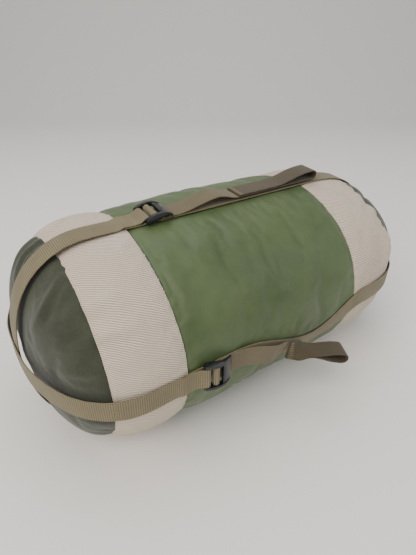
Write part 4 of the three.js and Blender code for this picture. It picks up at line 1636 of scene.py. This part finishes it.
@dataclass
class Stitching:
    """Every visible row of stitches: hems, seams, folded ends and tacks."""

    form: SackForm
    lines: WebLines
    stuffing: Stuffing
    pitch: float = 0.0034
    length: float = 0.0026
    radius: float = 0.00032
    step: float = 0.0012
    # The hem row lies 2.6 mm from the lid's rim: it is stitching, and its pale thread also draws the
    # thin light line along the folded rim, a painted highlight.
    from_hem: float = 0.0026
    from_seam: float = 0.0036
    tree: bpy.types.NodeTree = field(init=False)

    def __post_init__(self) -> None:
        """Builds the node tree that all rows share."""
        self.tree = StitchTree().build()

    def sew(self, name: str, rows: list[np.ndarray], cloth: Cloth, body: str) -> None:
        """Lays stitches along rows of points.

        Args:
            name: the piece's name.
            rows: lines of points, each an array of places.
            cloth: the thread.
            body: the body that the stitches ride on.
        """
        points = np.concatenate(rows)
        starts = np.cumsum([0] + [len(row) for row in rows])
        edges = [(k, k + 1) for a, b in zip(starts, starts[1:]) for k in range(a, b - 1)]
        mesh = bpy.data.meshes.new(name)
        mesh.from_pydata([tuple(point) for point in points], edges, [])
        made = bpy.data.objects.new(name, mesh)
        bpy.context.scene.collection.objects.link(made)
        rows_of = made.modifiers.new("Sewing", "NODES")
        rows_of.node_group = self.tree
        values = {
            "Stitch Pitch": self.pitch,
            "Stitch Length": self.length,
            "Thread Radius": self.radius,
            "Thread": cloth.material(),
        }
        for item in self.tree.interface.items_tree:
            if item.in_out == "INPUT" and item.name in values:
                rows_of[item.identifier] = values[item.name]
        flatten_modifiers(made)
        place_piece(made, cloth, body)

    def round_row(self, part: str, x: float, proud: float = 0.0001) -> np.ndarray:
        """Returns a closed row round one panel, on the ring nearest to x."""
        rings = self.stuffing.skin[part]
        index = int(np.argmin(np.abs(self.stuffing.stations[part] - x)))
        index = min(max(index, 1), len(rings) - 2)
        out = self.stuffing.normals(rings)[index]
        row = rings[index] + out * proud
        return np.concatenate([row, row[:1]])

    def tack(self, path: WebPath, at: float, side: float, bars: int = 3) -> list[np.ndarray]:
        """Returns short rows straight across a band, as a bar tack."""
        lines, widths, normals, reach = path.smooth(self.step)
        rows = []
        for bar in range(bars):
            index = int(np.argmin(np.abs(reach - at - 0.0013 * bar)))
            middle = lines[index] + side * normals[index] * (self.form.web_thick / 2 + 0.00005)
            shares = np.linspace(-0.82, 0.82, 16)[:, None]
            rows.append(middle + widths[index] * shares * self.form.web_half)
        return rows

    def outward_side(self, path: WebPath, at: float) -> float:
        """Returns which face of a band looks away from the sack's axis."""
        lines, _, normals, reach = path.smooth(self.step)
        index = int(np.argmin(np.abs(reach - at)))
        away = lines[index] - np.array([0.85 * lines[index][0], 0.0, self.form.axis_height])
        return 1.0 if float(np.dot(normals[index], away)) > 0 else -1.0

    def make(self) -> None:
        """Sews every row."""
        form = self.form
        for name, panel, along, body in (
            # The lid's hem row, close to the rim, is real stitching that also serves as a painted
            # highlight along the folded edge.
            ("lid_hem_stitches", "lid_skirt", form.lid.rim - self.from_hem, "lid"),
            ("lid_seam_stitches", "lid_skirt", form.lid.seam + self.from_seam, "lid"),
            ("base_seam_stitches", "base_band", form.base.rim + self.from_seam, "root"),
            ("base_cap_stitches", "base_band", form.base.seam - self.from_seam, "root"),
        ):
            self.sew(name, [self.round_row(panel, along)], Cloth.PALE_THREAD, body)
        self.sew_lid_webbing()
        self.sew_base_webbing()
        self.sew_free_ends()

    def sew_lid_webbing(self) -> None:
        """Sews the hoops' folded ends and the places where they cross the lid's seams."""
        straps = self.form.straps
        rows: list[np.ndarray] = []
        for first, second, crossing in (("top", "bottom", 0), ("front", "back", 1)):
            path = self.lines.over_lid(straps[first], straps[second], crossing)
            lines, _, _, reach = path.smooth(self.step)
            total = float(reach[-1])
            for name, near in ((first, True), (second, False)):
                half = reach < total / 2 if near else reach > total / 2
                spots = np.flatnonzero(half)
                fold = straps[name].buckle_x
                order = spots if near else spots[::-1]
                folded = [k for k in order if fold - 0.027 < lines[k][0] < fold - 0.011]
                upper = folded[len(folded) // 2:]
                first_at, last_at = sorted((float(reach[upper[0]]), float(reach[upper[-1]])))
                side = self.outward_side(path, (first_at + last_at) / 2)
                rows += self.tack(path, first_at, side) + self.tack(path, last_at - 0.0026, side)
                seam = self.form.lid.seam + 0.001
                crossing_at = [k for k in order if abs(lines[k][0] - seam) < 0.0015]
                at = float(reach[crossing_at[0]])
                rows += self.tack(path, at, self.outward_side(path, at))
        self.sew("lid_webbing_stitches", rows, Cloth.LIGHT_THREAD, "lid")

    def sew_base_webbing(self) -> None:
        """Tacks the live runs to the base's seams."""
        straps = self.form.straps
        rows: list[np.ndarray] = []
        for first, second, crossing in (("top", "bottom", 0), ("front", "back", 1)):
            path = self.lines.over_base(straps[first], straps[second], crossing)
            lines, _, _, reach = path.smooth(self.step)
            for seam in (self.form.base.rim + 0.002, self.form.base.seam - 0.003):
                for half in (reach < reach[-1] / 2, reach > reach[-1] / 2):
                    spots = np.flatnonzero(half)
                    at = float(reach[spots[np.argmin(np.abs(lines[spots, 0] - seam))]])
                    rows += self.tack(path, at, self.outward_side(path, at), 4)
        self.sew("base_webbing_stitches", rows, Cloth.LIGHT_THREAD, "root")

    def sew_free_ends(self) -> None:
        """Tacks each pull loop's two layers together, and each tail's end."""
        webs = WebbingSet(self.form, self.lines)
        for place, strap in self.form.straps.items():
            for name, path, inset, body in (
                (f"loop_stitches_{place}", webs.loop(place), 0.006, f"pull_loop_{place}"),
                (f"tail_stitches_{place}", self.lines.tail(strap), 0.007, f"tail_{place}"),
            ):
                at = float(path.smooth(self.step)[3][-1]) - inset
                rows = self.tack(path, at, self.outward_side(path, at), 4)
                self.sew(name, rows, Cloth.LIGHT_THREAD, body)


# ------------------------------------------------------------------ hidden tapes and the studio


def dress_tapes() -> None:
    """Gives the bias tapes inside the seams their finish."""
    for node in ("base_seam_binding", "base_cap_binding", "lid_cap_binding", "lid_hem_tape"):
        piece = frame["nodes"][node]
        piece.data.materials.clear()
        piece.data.materials.append(Cloth.TAPE.material())
        LOG.info("%s carries %s", node, Cloth.TAPE.finish.name)


@dataclass(frozen=True)
class Studio:
    """A pale floor, soft lights and the camera."""

    eye: tuple[float, float, float] = (-0.2873, -0.3923, 0.4091)
    yaw: float = 34.86
    pitch: float = 30.71
    roll: float = -0.29
    lens: float = 26.1
    floor_size: float = 12.0

    def make(self) -> None:
        """Sets the camera, the floor and the lights."""
        self.make_camera()
        self.make_floor()
        self.make_light("window", (-1.5, -0.7, 1.7), (0.0, 0.0, 0.1), 1.7, 46.0, "#fff9f1")
        self.make_light("room", (1.2, -1.6, 1.5), (0.0, 0.0, 0.1), 1.6, 12.0, "#f4f6fb")
        self.make_light("ceiling", (0.1, 0.6, 2.1), (0.0, 0.0, 0.1), 1.8, 20.0, "#fbfbfb")
        world = bpy.data.worlds.new("pale room")
        world.use_nodes = True
        sky = world.node_tree.nodes["Background"]
        sky.inputs["Color"].default_value = linear("#eef0f2")
        sky.inputs["Strength"].default_value = 0.55
        bpy.context.scene.world = world

    def make_camera(self) -> None:
        """Puts the camera at the object's usual viewing angle."""
        data = bpy.data.cameras.new("camera")
        data.lens = self.lens
        data.clip_start = 0.01
        camera = bpy.data.objects.new("camera", data)
        bpy.context.scene.collection.objects.link(camera)
        turn = Matrix.Rotation(-math.radians(self.yaw), 4, "Z")
        tilt = Matrix.Rotation(math.radians(90 - self.pitch), 4, "X")
        roll = Matrix.Rotation(math.radians(self.roll), 4, "Z")
        camera.matrix_world = Matrix.Translation(self.eye) @ turn @ tilt @ roll
        bpy.context.scene.camera = camera

    def make_floor(self) -> None:
        """Lays a plain pale floor that sweeps up behind the sack."""
        flat = [(-4.0, 0.0), (1.9, 0.0)]
        turns = np.radians(np.linspace(0, 90, 25)[1:])
        bend = [(1.9 + 1.3 * math.sin(turn), 1.3 - 1.3 * math.cos(turn)) for turn in turns]
        profile = [*flat, *bend, (3.2, 5.0)]
        away = np.array([math.sin(math.radians(self.yaw)), math.cos(math.radians(self.yaw)), 0.0])
        side = np.array([away[1], -away[0], 0.0]) * self.floor_size / 2
        points = [away * far + [0, 0, up] + side * way for far, up in profile for way in (-1, 1)]
        faces = [(2 * k, 2 * k + 1, 2 * k + 3, 2 * k + 2) for k in range(len(profile) - 1)]
        floor = make_object("floor", np.array(points), faces)
        material = bpy.data.materials.new("matt paper")
        material.use_nodes = True
        shader = material.node_tree.nodes["Principled BSDF"]
        shader.inputs["Base Color"].default_value = linear("#ece9e4")
        shader.inputs["Roughness"].default_value = 0.9
        floor.data.materials.append(material)

    def make_light(
        self,
        name: str,
        place: tuple[float, float, float],
        target: tuple[float, float, float],
        size: float,
        power: float,
        colour: str,
    ) -> None:
        """Hangs one soft square light that faces a target."""
        data = bpy.data.lights.new(name, "AREA")
        data.size = size
        data.energy = power
        data.color = linear(colour)[:3]
        light = bpy.data.objects.new(name, data)
        bpy.context.scene.collection.objects.link(light)
        light.location = place
        aim = Vector(target) - Vector(place)
        light.rotation_euler = aim.to_track_quat("-Z", "Y").to_euler()


def main() -> None:
    """Builds the sack's looks round the frame, in order."""
    logging.basicConfig(level=logging.INFO, format="%(name)s: %(message)s")
    Studio().make()
    form = SackForm.from_frame()
    stuffing = Stuffing(form)
    Skins(form, stuffing).make()
    lines = WebLines(form)
    WebbingSet(form, lines).make()
    BuckleSet().make()
    Stitching(form, lines, stuffing).make()
    dress_tapes()


if __name__ == "__main__":
    main()
